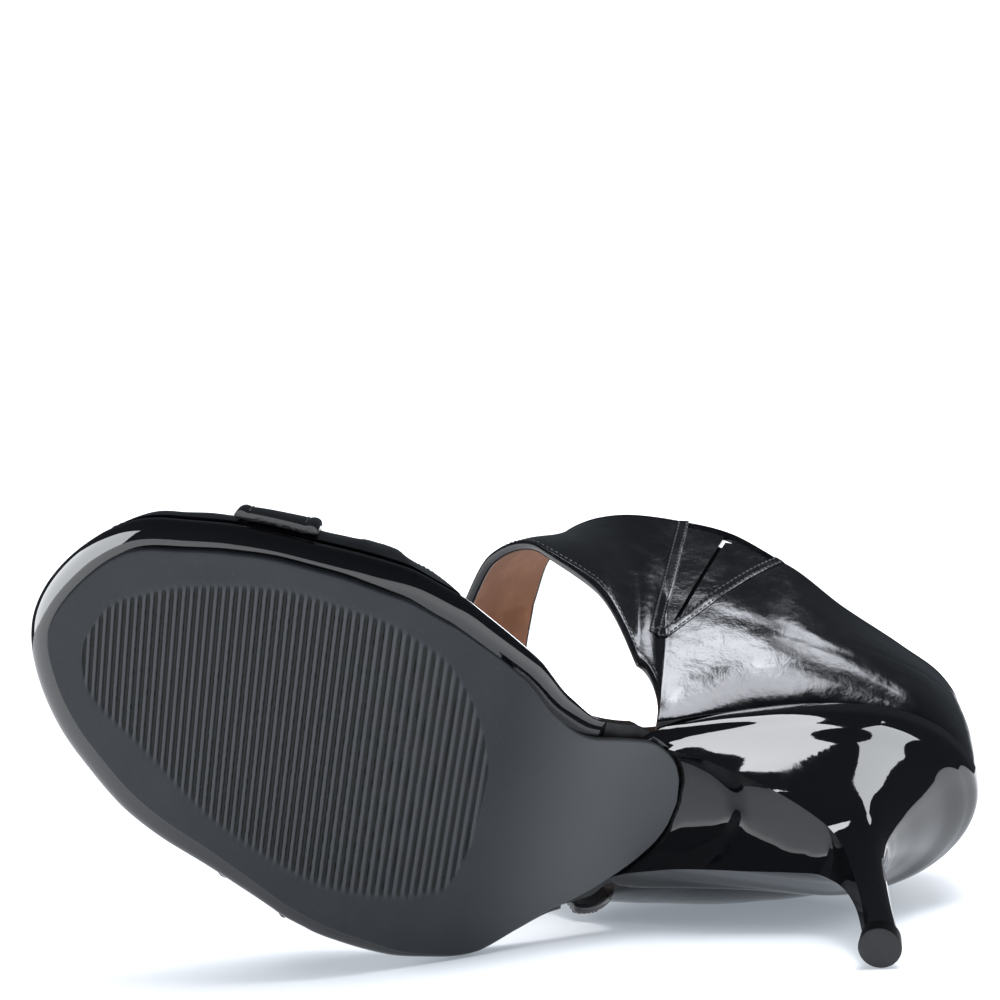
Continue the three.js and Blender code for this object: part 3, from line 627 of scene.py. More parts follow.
@dataclass
class Heel:
    """Stiletto heel: a cup under the seat, a scooped breast and a slim stem."""

    rows: int = 190
    side_count: int = 40
    front_count: int = 30
    shoulder: float = 0.38
    taper: float = 1.5

    def sections(self) -> np.ndarray:
        """Rings of the heel from the seat down to the stem's end, as the solid has them."""
        tip = TIP_HEIGHT + SOLE_GAP
        step = np.linspace(0, 11, self.rows)[:, None]
        row = {name: curve(step) for name, curve in HEEL.items()}

        def width(s: np.ndarray) -> np.ndarray:
            round_back = row["half"] * np.sqrt(np.clip(1 - (1 - s / self.shoulder) ** 2, 0, 1))
            share = np.clip((s - self.shoulder) / (1 - self.shoulder), 0, None) ** self.taper
            nose = row["half"] + (row["nose"] - row["half"]) * share
            return np.where(s < self.shoulder, round_back, nose)

        def place(s: np.ndarray, y: np.ndarray) -> np.ndarray:
            x = (row["back"] + (row["front"] - row["back"]) * s) * LENGTH
            up = (row["backUp"] + (row["frontUp"] - row["backUp"]) * s) * (HEEL_HEIGHT - tip)
            centre = row["sway"] * CENTRE(x / LENGTH) * BALL_WIDTH
            return np.stack(np.broadcast_arrays(x, centre + y * HEEL_WIDTH, tip + up), -1)

        s = stations(self.side_count, True, False)[None, 1:]
        medial = place(s, width(s))
        lateral = place(s, -width(s))[:, ::-1]
        side = 1 - 2 * np.arange(1, self.front_count)[None, :] / self.front_count
        drawn = row["scoop"] * (1 - side * side) / (row["front"] - row["back"])
        breast = place(1 - drawn, width(np.ones_like(side)) * side)
        back = place(np.zeros((1, 1)), np.zeros((1, 1)))
        return np.concatenate([back, medial, breast, lateral], 1)

    def build(self, finish: bpy.types.Material) -> bpy.types.Object:
        """Makes the heel: each line of points down it starts at the seat's underside."""
        grid = self.sections()
        x = np.linspace(-12, LENGTH * 0.6, 900)
        seat = Last.over(x, np.zeros_like(x), Last.insole(x) - SOLE_GAP)
        order = np.argsort(seat[:, 0])
        ceiling = np.interp(grid[..., 0], seat[order, 0], seat[order, 2])
        over = grid[..., 2] - ceiling
        rows = np.arange(self.rows, dtype=float)
        result = np.empty_like(grid)
        share = np.linspace(0, 1, self.rows) ** 1.15
        for j in range(grid.shape[1]):
            above = np.nonzero(over[:, j] > 0)[0]
            k = above[-1] if len(above) else 0
            first = k + (over[k, j] / (over[k, j] - over[k + 1, j]) if len(above) else 0)
            read = first + (self.rows - 1 - first) * share
            for axis in range(3):
                result[:, j, axis] = np.interp(read, rows, grid[:, j, axis])
        points, faces = loft(result)
        heel = make("stiletto_heel", points, faces, finish, 42)
        cut_by(heel, [self.tongue_space()])
        return heel

    @staticmethod
    def tongue_space() -> bpy.types.Object:
        """Room for the rubber's tongue, with its gap all round."""
        x = TONGUE_END + (TONGUE_LENGTH + 20) * np.linspace(0, 1, 160) ** 1.6
        spare = -2 * SOLE_GAP
        profile = [
            (spare, lambda px: np.full_like(px, -HEEL_HEIGHT * CUT_DEPTH)),
            (spare, lambda px: np.full_like(px, Last.base())),
        ]
        sections = slab_sections(x, rubber_edge, profile, 10)
        sections[..., 0] -= SOLE_GAP
        points, faces = loft(sections)
        return make("tongue_space", points, faces, None)


def cut_by(thing: bpy.types.Object, cutters: Sequence[bpy.types.Object], operation: str = "DIFFERENCE",
           keep: bool = False) -> None:
    """Cuts a closed piece by others, or keeps what they share, and removes the cutters.

    Args:
        thing: the piece that stays.
        cutters: closed helper objects.
        operation: DIFFERENCE or INTERSECT.
        keep: leave the cutters in the scene.
    """
    for cutter in cutters:
        modifier = thing.modifiers.new("cut", "BOOLEAN")
        modifier.operation = operation
        modifier.solver = "EXACT"
        modifier.object = cutter
        graph = bpy.context.evaluated_depsgraph_get()
        mesh = bpy.data.meshes.new_from_object(thing.evaluated_get(graph))
        thing.modifiers.clear()
        thing.data = mesh
        if not keep:
            bpy.data.objects.remove(cutter)


@dataclass
class TopLift:
    """Round tip of hard plastic under the stem, a lathe profile with edges rounded by wear."""

    sides: int = 96

    def build(self, finish: bpy.types.Material) -> bpy.types.Object:
        """Makes the top lift: a turned profile, each radius carried round the stem's centre."""
        centre = (float(HEEL["back"](11)) + float(HEEL["front"](11))) / 2 * LENGTH
        edge = 0.35
        profile = np.array([
            (0.001, 0.0), (TIP_RADIUS * 0.5, 0.0), (TIP_RADIUS - edge, 0.0),
            (TIP_RADIUS - edge * 0.3, edge * 0.3), (TIP_RADIUS, edge),
            (TIP_RADIUS - TIP_DRAFT * 0.9, TIP_HEIGHT - edge), (TIP_RADIUS - TIP_DRAFT - edge, TIP_HEIGHT),
            (TIP_RADIUS * 0.5, TIP_HEIGHT), (0.001, TIP_HEIGHT),
        ])
        angle = np.linspace(0, 2 * np.pi, self.sides, endpoint=False)
        grid = np.stack([
            centre + profile[:, :1] * np.cos(angle),
            profile[:, :1] * np.sin(angle),
            np.broadcast_to(profile[:, 1:], (len(profile), self.sides)),
        ], -1)
        points, faces = loft(grid)
        return make("heel_tip", points, faces, finish, 25)


def band_point(x: np.ndarray, across: np.ndarray, lift: np.ndarray) -> np.ndarray:
    """Point of the forefoot band's skin.

    Sideways it follows a cosine raised to the lean, upwards a sine raised to a power, over the
    insole's underside.

    Args:
        x: places along the shoe.
        across: share from the medial to the lateral foot of the band.
        lift: distance over the skin.

    Returns:
        Points.
    """
    centre, half = Last.outline(x)
    angle = np.pi * across
    arch = BAND_ARCH(x / LENGTH) * ARCH + lift
    side = half + lift + SWELL * np.abs(np.sin(2 * angle))
    cosine = np.cos(angle)
    reach = np.abs(cosine) ** BAND_LEAN(x / LENGTH)
    y = centre + side * np.sign(cosine) * reach
    return Last.over(x, y, Last.insole(x) + arch * np.abs(np.sin(angle)) ** ARCH_POWER)


def strap_grid(front: Callable, rear: Callable, along: int, across: np.ndarray, lift: float,
               thickness: float, crease: Callable | None = None) -> np.ndarray:
    """Sections of a wall over the foot with round edges.

    Each section runs over the outer skin from the front edge to the rear one, round the edge in a
    half circle, back under the inner skin and round the front edge.

    Args:
        front: front edge's place from the share across.
        rear: rear edge's place from the share across.
        along: points over each skin.
        across: shares across.
        lift: height of the outer skin.
        thickness: thickness of the wall.
        crease: added height of the skin from (x, share).

    Returns:
        Array of sections by points by 3.
    """
    share = across[:, None]
    x0, x1 = front(share), rear(share)
    radius = thickness / 2
    t = np.linspace(0, 1, along)[None, :]
    arc = np.linspace(0, np.pi, 9)[None, 1:-1]
    xf, xr = x0 - radius, x1 + radius
    outer_x = xf + (xr - xf) * t
    outer_l = np.full_like(outer_x, lift)
    rear_x = xr - radius * np.sin(arc) + 0 * share
    rear_l = lift - radius + radius * np.cos(arc) + 0 * share
    inner_x = outer_x[:, ::-1]
    inner_l = np.full_like(inner_x, lift - thickness)
    front_x = xf + radius * np.sin(arc) + 0 * share
    front_l = lift - radius - radius * np.cos(arc) + 0 * share
    x = np.concatenate([outer_x, rear_x, inner_x, front_x], 1)
    level = np.concatenate([outer_l, rear_l, inner_l, front_l], 1)
    if crease:
        level = level + crease(x, np.broadcast_to(share, x.shape))
    return band_point(x, np.broadcast_to(share, x.shape), level)


@dataclass
class ToeBand:
    """Forefoot band, open at the toe and behind."""

    across: int = 260
    along: int = 150

    @staticmethod
    def front(share: np.ndarray) -> np.ndarray:
        """Front edge: a sine's curve back over the toes."""
        return BAND_FRONT - BAND_CURVE * np.sin(np.pi * np.clip(share, 0, 1)) ** 0.8

    @staticmethod
    def rear(share: np.ndarray) -> np.ndarray:
        """Rear edge: a sine's curve forward, skewed to the lateral side."""
        return BAND_REAR + BAND_CURVE * np.sin(np.pi * share) - BAND_SKEW * share

    @staticmethod
    def crease(x: np.ndarray, share: np.ndarray) -> np.ndarray:
        """Soft troughs and ridges where the band bends with the foot.

        Args:
            x: places along the shoe.
            share: share across.

        Returns:
            Added height in millimetres.
        """
        top = np.sin(np.pi * share) ** 1.2
        foot = bump(share, 0.0, 0.1) + bump(share, 1.0, 0.1)
        folds = (
            -0.45 * bump(x + 10 * share, 150, 1.8) + 0.3 * bump(x + 10 * share, 154, 2.2)
            - 0.35 * bump(x - 6 * share, 139, 1.6) + 0.25 * bump(x - 6 * share, 143, 2.0)
            - 0.25 * bump(x + 4 * share, 181, 1.4)
        )
        gathers = 0.12 * np.sin(x / 1.9) * bump(share, 0.06, 0.035)
        return folds * top * (1 - foot) + gathers

    def stitch_paths(self) -> list:
        """Stitch rows inside the front edge and the rear edge."""
        share = np.linspace(0.02, 0.98, 400)
        rows = (self.front(share) - 2.2, self.rear(share) + 2.2)
        return [band_point(x, share, self.crease(x, share) + 0.02) for x in rows]

    def build(self, finish: bpy.types.Material, lining: bpy.types.Material) -> bpy.types.Object:
        """Makes the band with round edges and its lining inside."""
        share = np.linspace(0, 1, self.across)
        grid = strap_grid(self.front, self.rear, self.along, share, 0.0, WALL, self.crease)
        points, faces = loft(grid)
        thing = make("toe_band_skin", points, faces, finish, 60)
        thing.data.materials.append(lining)
        paint_inside(thing, grid.shape[1], self.along + 8, 2 * self.along + 6)
        return thing


def first_corners(mesh: bpy.types.Mesh) -> np.ndarray:
    """Index of each face's first corner point."""
    corners = np.empty(len(mesh.loops), dtype=np.int32)
    starts = np.empty(len(mesh.polygons), dtype=np.int32)
    mesh.polygons.foreach_get("loop_start", starts)
    mesh.loops.foreach_get("vertex_index", corners)
    return corners[starts]


def paint_inside(thing: bpy.types.Object, count: int, low: int, high: int) -> None:
    """Gives the lining to the faces whose place in their section lies in a range.

    Args:
        thing: the piece.
        count: points in a section.
        low: first place of the inner skin.
        high: last place of the inner skin.
    """
    place = first_corners(thing.data) % count
    index = ((place >= low) & (place <= high)).astype(np.int32)
    thing.data.polygons.foreach_set("material_index", index)


def paint_rows(thing: bpy.types.Object, count: int, chosen: np.ndarray, low: int) -> None:
    """Gives the outer skin back to the chosen rows, from a place in their section onwards.

    Args:
        thing: the piece.
        count: points in a section.
        chosen: which rows.
        low: first place.
    """
    first = first_corners(thing.data)
    index = np.empty(len(thing.data.polygons), dtype=np.int32)
    thing.data.polygons.foreach_get("material_index", index)
    index[chosen[first // count] & (first % count >= low)] = 0
    thing.data.polygons.foreach_set("material_index", index)


@dataclass
class BandLoop:
    """Loop that crosses over the band, its edges folded under."""

    across: int = 260
    along: int = 40

    @staticmethod
    def middle(share: np.ndarray) -> np.ndarray:
        """Centre line of the loop along the shoe."""
        return LOOP_CENTRE - LOOP_SKEW * share + LOOP_CURVE * np.sin(np.pi * share)

    def build(self, finish: bpy.types.Material) -> bpy.types.Object:
        """Makes the loop: a flat strap with a slight crown between its folded edges."""
        share = np.linspace(0, 1, self.across)

        def crown(x: np.ndarray, part: np.ndarray) -> np.ndarray:
            off = (x - self.middle(part)) / (LOOP_WIDTH / 2)
            edge = 0.28 * bump(np.abs(off), 0.84, 0.1)
            return edge - 0.12 * bump(np.abs(off), 0.68, 0.05)

        grid = strap_grid(
            lambda s: self.middle(s) + LOOP_WIDTH / 2, lambda s: self.middle(s) - LOOP_WIDTH / 2,
            self.along, share, LOOP_GAP + LOOP_THICK, LOOP_THICK, crown,
        )
        points, faces = loft(grid)
        return make("band_loop_strap", points, faces, finish, 60)

    def stitch_paths(self) -> list:
        """Stitch rows inside both folded edges."""
        share = np.linspace(0.01, 0.99, 300)
        lift = np.full_like(share, LOOP_GAP + LOOP_THICK)
        reach = LOOP_WIDTH / 2 - LOOP_STITCH_INSET
        return [band_point(self.middle(share) + side * reach, share, lift) for side in (-1, 1)]


CUFF_ROWS = list(range(13))
CUFF = {
    "topX": Curve(CUFF_ROWS, [
        0.026, 0.032, 0.065, 0.12, 0.195, 0.27, 0.345, 0.41, 0.46, 0.505, 0.545, 0.565, 0.57]),
    "topIn": Curve(CUFF_ROWS, [
        0.0, 0.11, 0.22, 0.3, 0.385, 0.455, 0.475, 0.455, 0.43, 0.38, 0.28, 0.15, 0.0]),
    "topOut": Curve(CUFF_ROWS, [
        0.0, 0.115, 0.25, 0.38, 0.48, 0.54, 0.56, 0.54, 0.5, 0.42, 0.3, 0.16, 0.0]),
    "topUp": Curve(CUFF_ROWS, [
        0.78, 0.76, 0.7, 0.63, 0.58, 0.64, 0.76, 0.82, 0.85, 0.88, 0.92, 0.95, 0.97]),
    "lowX": Curve(CUFF_ROWS, [
        0.0, 0.012, 0.045, 0.12, 0.2, 0.265, 0.315, 0.353, 0.4, 0.47, 0.55, 0.61, 0.635]),
    "lowIn": Curve(CUFF_ROWS[8:], [0.29, 0.39, 0.4, 0.27, 0.0]),
    "lowOut": Curve(CUFF_ROWS[8:], [0.55, 0.56, 0.49, 0.32, 0.0]),
    "lowUp": Curve(CUFF_ROWS[8:], [-0.2, 0.1, 0.3, 0.47, 0.58]),
    "swellIn": Curve(CUFF_ROWS, [0.3, 0.25, 0.4, 0.7, 0.8, 0.8, 0.6, 0.45, 0.35, 0.3, 0.25, 0.2, 0.2]),
    "swellOut": Curve(CUFF_ROWS, [0.3, 0.15, 0.3, 0.9, 1.4, 1.65, 1.75, 1.65, 0.9, 0.3, 0.25, 0.2, 0.2]),
}
GUSSET = {
    "apex": (0.392, -0.03), "front": (0.408, 1.1), "rear": (0.257, 0.8),
    "slit_foot": (0.376, 0.1), "slit_top": (0.342, 0.9),
}


def corner(name: str) -> np.ndarray:
    """Corner of the gusset in the side view, as X and Z."""
    at, up = GUSSET[name]
    return np.array([at * LENGTH, HEEL_HEIGHT + up * CUFF_RISE])


@dataclass
class AnkleCuff:
    """Counter and ankle cuff in one wall, with a gusset let into each side."""

    around: int = 560
    upward: int = 96
    inner: int = 36

    @staticmethod
    def edges(row: np.ndarray, side: np.ndarray) -> tuple:
        """Lower and upper edge of the cuff and its bulge at a row.

        Args:
            row: rows from the back, 0, to the front, LAST_ROW.
            side: 1 medial or -1 lateral, for each row.

        Returns:
            Lower points, upper points and bulges.
        """
        medial = side > 0

        def pick(name: str) -> np.ndarray:
            """Value of a measure at each row, of the side that the row is on."""
            return np.where(medial, CUFF[name + "In"](row), CUFF[name + "Out"](row))

        top = np.stack([
            CUFF["topX"](row) * LENGTH, side * pick("top") * CUFF_WIDTH,
            HEEL_HEIGHT + CUFF["topUp"](row) * CUFF_RISE,
        ], -1)
        low_x = CUFF["lowX"](row) * LENGTH
        seat_x = np.minimum(low_x, CUFF["lowX"](SEAT_ROWS) * LENGTH)
        mx, my = Last.rim(seat_x, 1, 0.0)
        lx, ly = Last.rim(seat_x, -1, 0.0)
        seated = Last.over(np.where(medial, mx, lx), np.where(medial, my, ly), Last.insole(seat_x))
        free = np.stack([
            low_x, side * pick("low") * CUFF_WIDTH, HEEL_HEIGHT + CUFF["lowUp"](row) * CUFF_RISE,
        ], -1)
        blend = smooth(row, SEAT_ROWS, SEAT_ROWS + 1)[:, None]
        return seated + (free - seated) * blend, top, pick("swell") * CUFF_BULGE

    def spread(self, low: np.ndarray, top: np.ndarray, bulge: np.ndarray, v: np.ndarray,
               inward: np.ndarray, row: np.ndarray, side: np.ndarray) -> np.ndarray:
        """Points between the edges, pushed out from the ankle's line by a sine of the height.

        Args:
            low: lower points.
            top: upper points.
            bulge: bulge at each.
            v: shares of the height.
            inward: distances inside the skin.
            row: rows.
            side: sides.

        Returns:
            Points.
        """
        point = low + (top - low) * v[..., None]
        ankle, instep = LENGTH * 0.2, LENGTH * 0.46
        forward = np.clip((point[..., 0] - ankle) / (instep - ankle), 0, 1)
        out = np.stack([point[..., 0] - (ankle + (instep - ankle) * forward), point[..., 1]], -1)
        out /= np.linalg.norm(out, axis=-1, keepdims=True)
        move = bulge * np.sin(np.pi * np.clip(v, 0, 1) ** CUFF_SAG) - inward
        move = move + self.crease(row, side, v)
        point[..., :2] += out * move[..., None]
        return point

    def skin(self, v: np.ndarray, inward: np.ndarray, row: np.ndarray, side: np.ndarray) -> np.ndarray:
        """Grid of the cuff's points: each row of it by each share of the height.

        Args:
            v: shares of the height, as many as inward.
            inward: distances from the skin, for each v.
            row: rows round the cuff.
            side: side of each row.

        Returns:
            Array of rows by points by 3.
        """
        low, top, bulge = self.edges(row, side)
        return self.spread(low[:, None], top[:, None], bulge[:, None], v[None], inward[None],
                           row[:, None], side[:, None])

    def point(self, v: np.ndarray, inward: np.ndarray, row: np.ndarray, side: np.ndarray) -> np.ndarray:
        """Single points of the cuff, one for each set of values."""
        v, inward, row, side = np.broadcast_arrays(v, inward, row, side)
        low, top, bulge = self.edges(row, side)
        return self.spread(low, top, bulge, v, inward, row, side)

    def locate(self, x: np.ndarray, z: np.ndarray, side: int) -> tuple[np.ndarray, np.ndarray]:
        """Row and height share of skin points given in the side view.

        It starts at the nearest point of a coarse grid and takes Newton steps from there.

        Args:
            x: places along the shoe.
            z: heights.
            side: 1 or -1.

        Returns:
            Rows and height shares.
        """
        rows, shares = np.meshgrid(np.linspace(3.5, 11.5, 50), np.linspace(0, 1.1, 34), indexing="ij")
        row_list, share_list = rows.ravel(), shares.ravel()
        sides = np.full(row_list.shape, side)
        known = self.point(share_list, 0.0, row_list, sides)
        gap = (known[:, 0] - x[:, None]) ** 2 + (known[:, 2] - z[:, None]) ** 2
        near = gap.argmin(1)
        row, v = row_list[near].copy(), share_list[near].copy()
        sides = np.full(row.shape, side)
        step = 1e-3
        for _ in range(8):
            here = self.point(v, 0.0, row, sides)[:, [0, 2]]
            by_row = (self.point(v, 0.0, row + step, sides)[:, [0, 2]] - here) / step
            by_v = (self.point(v + step, 0.0, row, sides)[:, [0, 2]] - here) / step
            miss = np.stack([x, z], 1) - here
            det = by_row[:, 0] * by_v[:, 1] - by_row[:, 1] * by_v[:, 0]
            row = row + np.clip((miss[:, 0] * by_v[:, 1] - miss[:, 1] * by_v[:, 0]) / det, -0.3, 0.3)
            v = v + np.clip((by_row[:, 0] * miss[:, 1] - by_row[:, 1] * miss[:, 0]) / det, -0.1, 0.1)
        return row, v

    def on_side(self, line: np.ndarray, side: int, height: np.ndarray) -> np.ndarray:
        """Points over the skin from a grid of side-view places (x, z) and heights over the skin."""
        row, v = self.locate(line[..., 0].ravel(), line[..., 1].ravel(), side)
        height = np.broadcast_to(height, line.shape[:-1])
        sides = np.full(row.shape, side)
        return self.point(v, -height.ravel(), row, sides).reshape(*line.shape[:-1], 3)

    def seam_line(self, start: np.ndarray, end: np.ndarray, side: int, count: int,
                  top: float = 1.0) -> np.ndarray:
        """Straight line in the side view from a start up to a height share of the cuff.

        Args:
            start: lower end, as X and Z.
            end: a point over the collar that the line runs to.
            side: 1 or -1.
            count: points on it.
            top: height share at which it ends.

        Returns:
            Points as X and Z.
        """
        t = np.linspace(0, 1, 60)
        probe = start + (end - start) * t[:, None]
        _, v = self.locate(probe[:, 0], probe[:, 1], side)
        last = float(np.interp(top, np.maximum.accumulate(v), t))
        return start + (end - start) * np.linspace(0, last, count)[:, None]

    def strip(self, name: str, line: np.ndarray, side: int, width: float, height: float,
              depth: float, finish: bpy.types.Material) -> bpy.types.Object:
        """Flat strip along a line of the side view: a low round over the skin, closed below.

        Args:
            name: name of the piece.
            line: its centre line as X and Z.
            side: 1 or -1.
            width: its width.
            height: how far it stands over the skin.
            depth: how far it reaches into the wall.
            finish: its material.

        Returns:
            The object.
        """
        along = np.gradient(line, axis=0)
        along /= np.linalg.norm(along, axis=1, keepdims=True)
        across = np.stack([-along[:, 1], along[:, 0]], 1)
        arc = np.linspace(0, np.pi, 13)
        offset = np.concatenate([width / 2 * np.cos(arc), np.linspace(-width / 2, width / 2, 5)[1:-1]])
        rise = np.concatenate([height * np.sin(arc) ** 0.5, [-depth] * 3])
        rise[0] = rise[12] = -depth
        places = line[:, None] + across[:, None] * offset[None, :, None]
        points, faces = loft(self.on_side(places, side, rise[None]))
        return make(name, points, faces, finish, 50)

    def edge_tube(self, name: str, row: np.ndarray, side: np.ndarray, v: float, flat: float, tall: float,
                  finish: bpy.types.Material, closed: bool) -> bpy.types.Object:
        """Rolled edge: an ellipse carried round the cuff's edge, across and along its wall.

        Args:
            name: name of the piece.
            row: rows along the edge.
            side: side of each row.
            v: 0 for the lower edge, 1 for the collar.
            flat: half width across the wall.
            tall: half width along the wall.
            finish: its material.
            closed: the edge runs all the way round.

        Returns:
            The object.
        """
        low, top, _ = self.edges(row, side)
        size = np.linalg.norm(top - low, axis=1)
        angle = np.linspace(0, 2 * np.pi, 20, endpoint=False)
        inward = WALL / 2 + flat * np.cos(angle)[None] + 0 * size[:, None]
        towards = 1 if v < 0.5 else -1
        share = v + (tall * np.sin(angle)[None] + towards * tall * 0.35) / size[:, None]
        rows = np.broadcast_to(row[:, None], share.shape)
        sides = np.broadcast_to(side[:, None], share.shape)
        low, top, bulge = (
            np.broadcast_to(q[:, None], (*share.shape, *q.shape[1:])) for q in self.edges(row, side))
        grid = self.spread(low, top, bulge, share, inward, rows, sides)
        points, faces = ring_grid(grid) if closed else loft(grid)
        return make(name, points, faces, finish, 60)

    @staticmethod
    def crease(row: np.ndarray, side: np.ndarray, v: np.ndarray) -> np.ndarray:
        """Main creases: soft troughs and ridges by row, side and height.

        Args:
            row: rows round the cuff.
            side: side of each row.
            v: share of the height.

        Returns:
            Distance outwards in millimetres.
        """
        inner = (side > 0) * 1.0
        edge = smooth(v, 0.0, 0.1) * (1 - smooth(v, 0.92, 1.0))
        fold = (
            -0.14 * bump(v - 0.05 * row, 0.17, 0.04) * bump(row, 5, 1.6)
            + 0.1 * bump(v - 0.05 * row, 0.26, 0.05) * bump(row, 5, 1.6)
            - 0.12 * bump(v + 0.03 * row, 0.62, 0.03) * bump(row, 2.6, 1.2)
            - 0.1 * bump(row - 2 * v, 8.2, 0.25) * bump(v, 0.5, 0.3)
        )
        return fold * edge * (0.5 + 0.5 * inner)

    def wall(self, name: str, sink: float, materials: Sequence[bpy.types.Material]) -> bpy.types.Object:
        """Closed wall of the cuff with rounded edges.

        Args:
            name: name of the piece.
            sink: how far its outer skin lies inside the cuff's own.
            materials: outer skin, lining.

        Returns:
            The object.
        """
        lap = np.linspace(0, 2, self.around, endpoint=False)
        side = np.where(lap < 1, 1, -1)
        row = np.where(lap < 1, lap, 2 - lap) * LAST_ROW
        radius = (WALL - sink) / 2
        even = np.linspace(0, 1, self.upward)
        v = 0.6 * even + 0.4 * (0.5 - 0.5 * np.cos(np.pi * even))
        inner = np.linspace(1, 0, self.inner)
        arc = np.linspace(0, np.pi, 9)[1:-1]
        heights = np.concatenate([v, np.ones_like(arc) + 0.01 * np.sin(arc), inner, np.zeros_like(arc)])
        inward = np.concatenate([
            np.full_like(v, sink), sink + radius - radius * np.cos(arc),
            np.full_like(inner, WALL), WALL - radius + radius * np.cos(arc),
        ])
        grid = self.skin(heights, inward, row, side)
        points, faces = ring_grid(grid)
        thing = make(name, points, faces, materials[0], 60)
        thing.data.materials.append(materials[1])
        first = self.upward + len(arc)
        paint_inside(thing, grid.shape[1], first, first + self.inner - 1)
        turned_in = (side < 0) & (row > TURNED_ROWS[0]) & (row < TURNED_ROWS[1])
        paint_rows(thing, grid.shape[1], turned_in, first + self.inner // 8)
        return thing

    @staticmethod
    def outline(margin: float) -> np.ndarray:
        """Outline of the gusset in the side view, drawn in by a margin with mitred corners."""
        apex, front, rear = corner("apex"), corner("front"), corner("rear")
        up = np.array([0, CUFF_RISE])
        ring = np.array([apex, front, front + up, rear + up, rear])
        edge = np.roll(ring, -1, 0) - ring
        normal = np.stack([-edge[:, 1], edge[:, 0]], -1)
        normal /= np.linalg.norm(normal, axis=1, keepdims=True)
        before = np.roll(normal, 1, 0)
        dot = np.sum(before * normal, 1, keepdims=True)
        return ring + (before + normal) * margin / (1 + dot)

    @staticmethod
    def prism(ring: np.ndarray, low: float, high: float) -> bpy.types.Object:
        """Prism across the shoe over an outline, between two distances sideways."""
        ends = [np.stack([ring[:, 0], np.full(len(ring), y), ring[:, 1]], -1) for y in (low, high)]
        points, faces = loft(np.stack(ends))
        return make("prism", points, faces, None)

    def build(self, finish: bpy.types.Material, lining: bpy.types.Material) -> list:
        """Makes the cuff and its two gussets.

        Args:
            finish: outer skin.
            lining: inner skin.

        Returns:
            Cuff, medial gusset, lateral gusset.
        """
        cuff = self.wall("ankle_cuff_skin", 0.0, [finish, lining])
        cut_by(cuff, [self.prism(self.outline(0), -CUFF_WIDTH, CUFF_WIDTH)])
        slit_foot, slit_top = corner("slit_foot"), corner("slit_top")
        half = np.array([SLIT / 2, 0])
        slit = np.array([slit_foot - half, slit_foot + half, slit_top + half, slit_top - half])
        notch_x = float(CUFF["topX"](NOTCH_ROW)) * LENGTH
        notch_z = HEEL_HEIGHT + float(CUFF["topUp"](NOTCH_ROW)) * CUFF_RISE
        notch = np.array([
            (notch_x - NOTCH_WIDTH / 4, notch_z - NOTCH_DEPTH),
            (notch_x + NOTCH_WIDTH / 4, notch_z - NOTCH_DEPTH),
            (notch_x + NOTCH_WIDTH / 2, notch_z + CUFF_RISE),
            (notch_x - NOTCH_WIDTH / 2, notch_z + CUFF_RISE),
        ])
        pieces = [cuff]
        halves = (("gusset_medial_panel", 0, CUFF_WIDTH), ("gusset_lateral_panel", -CUFF_WIDTH, 0))
        for name, low, high in halves:
            panel = self.wall(name, GUSSET_SINK, [finish, lining])
            cut_by(panel, [self.prism(self.outline(GUSSET_GAP), low, high)], "INTERSECT")
            cut_by(panel, [self.prism(slit, low, high), self.prism(notch, low, high)])
            pieces.append(panel)
        for piece in pieces:
            piece.data.shade_smooth()
            piece.data.set_sharp_from_angle(angle=np.radians(60))
        return pieces


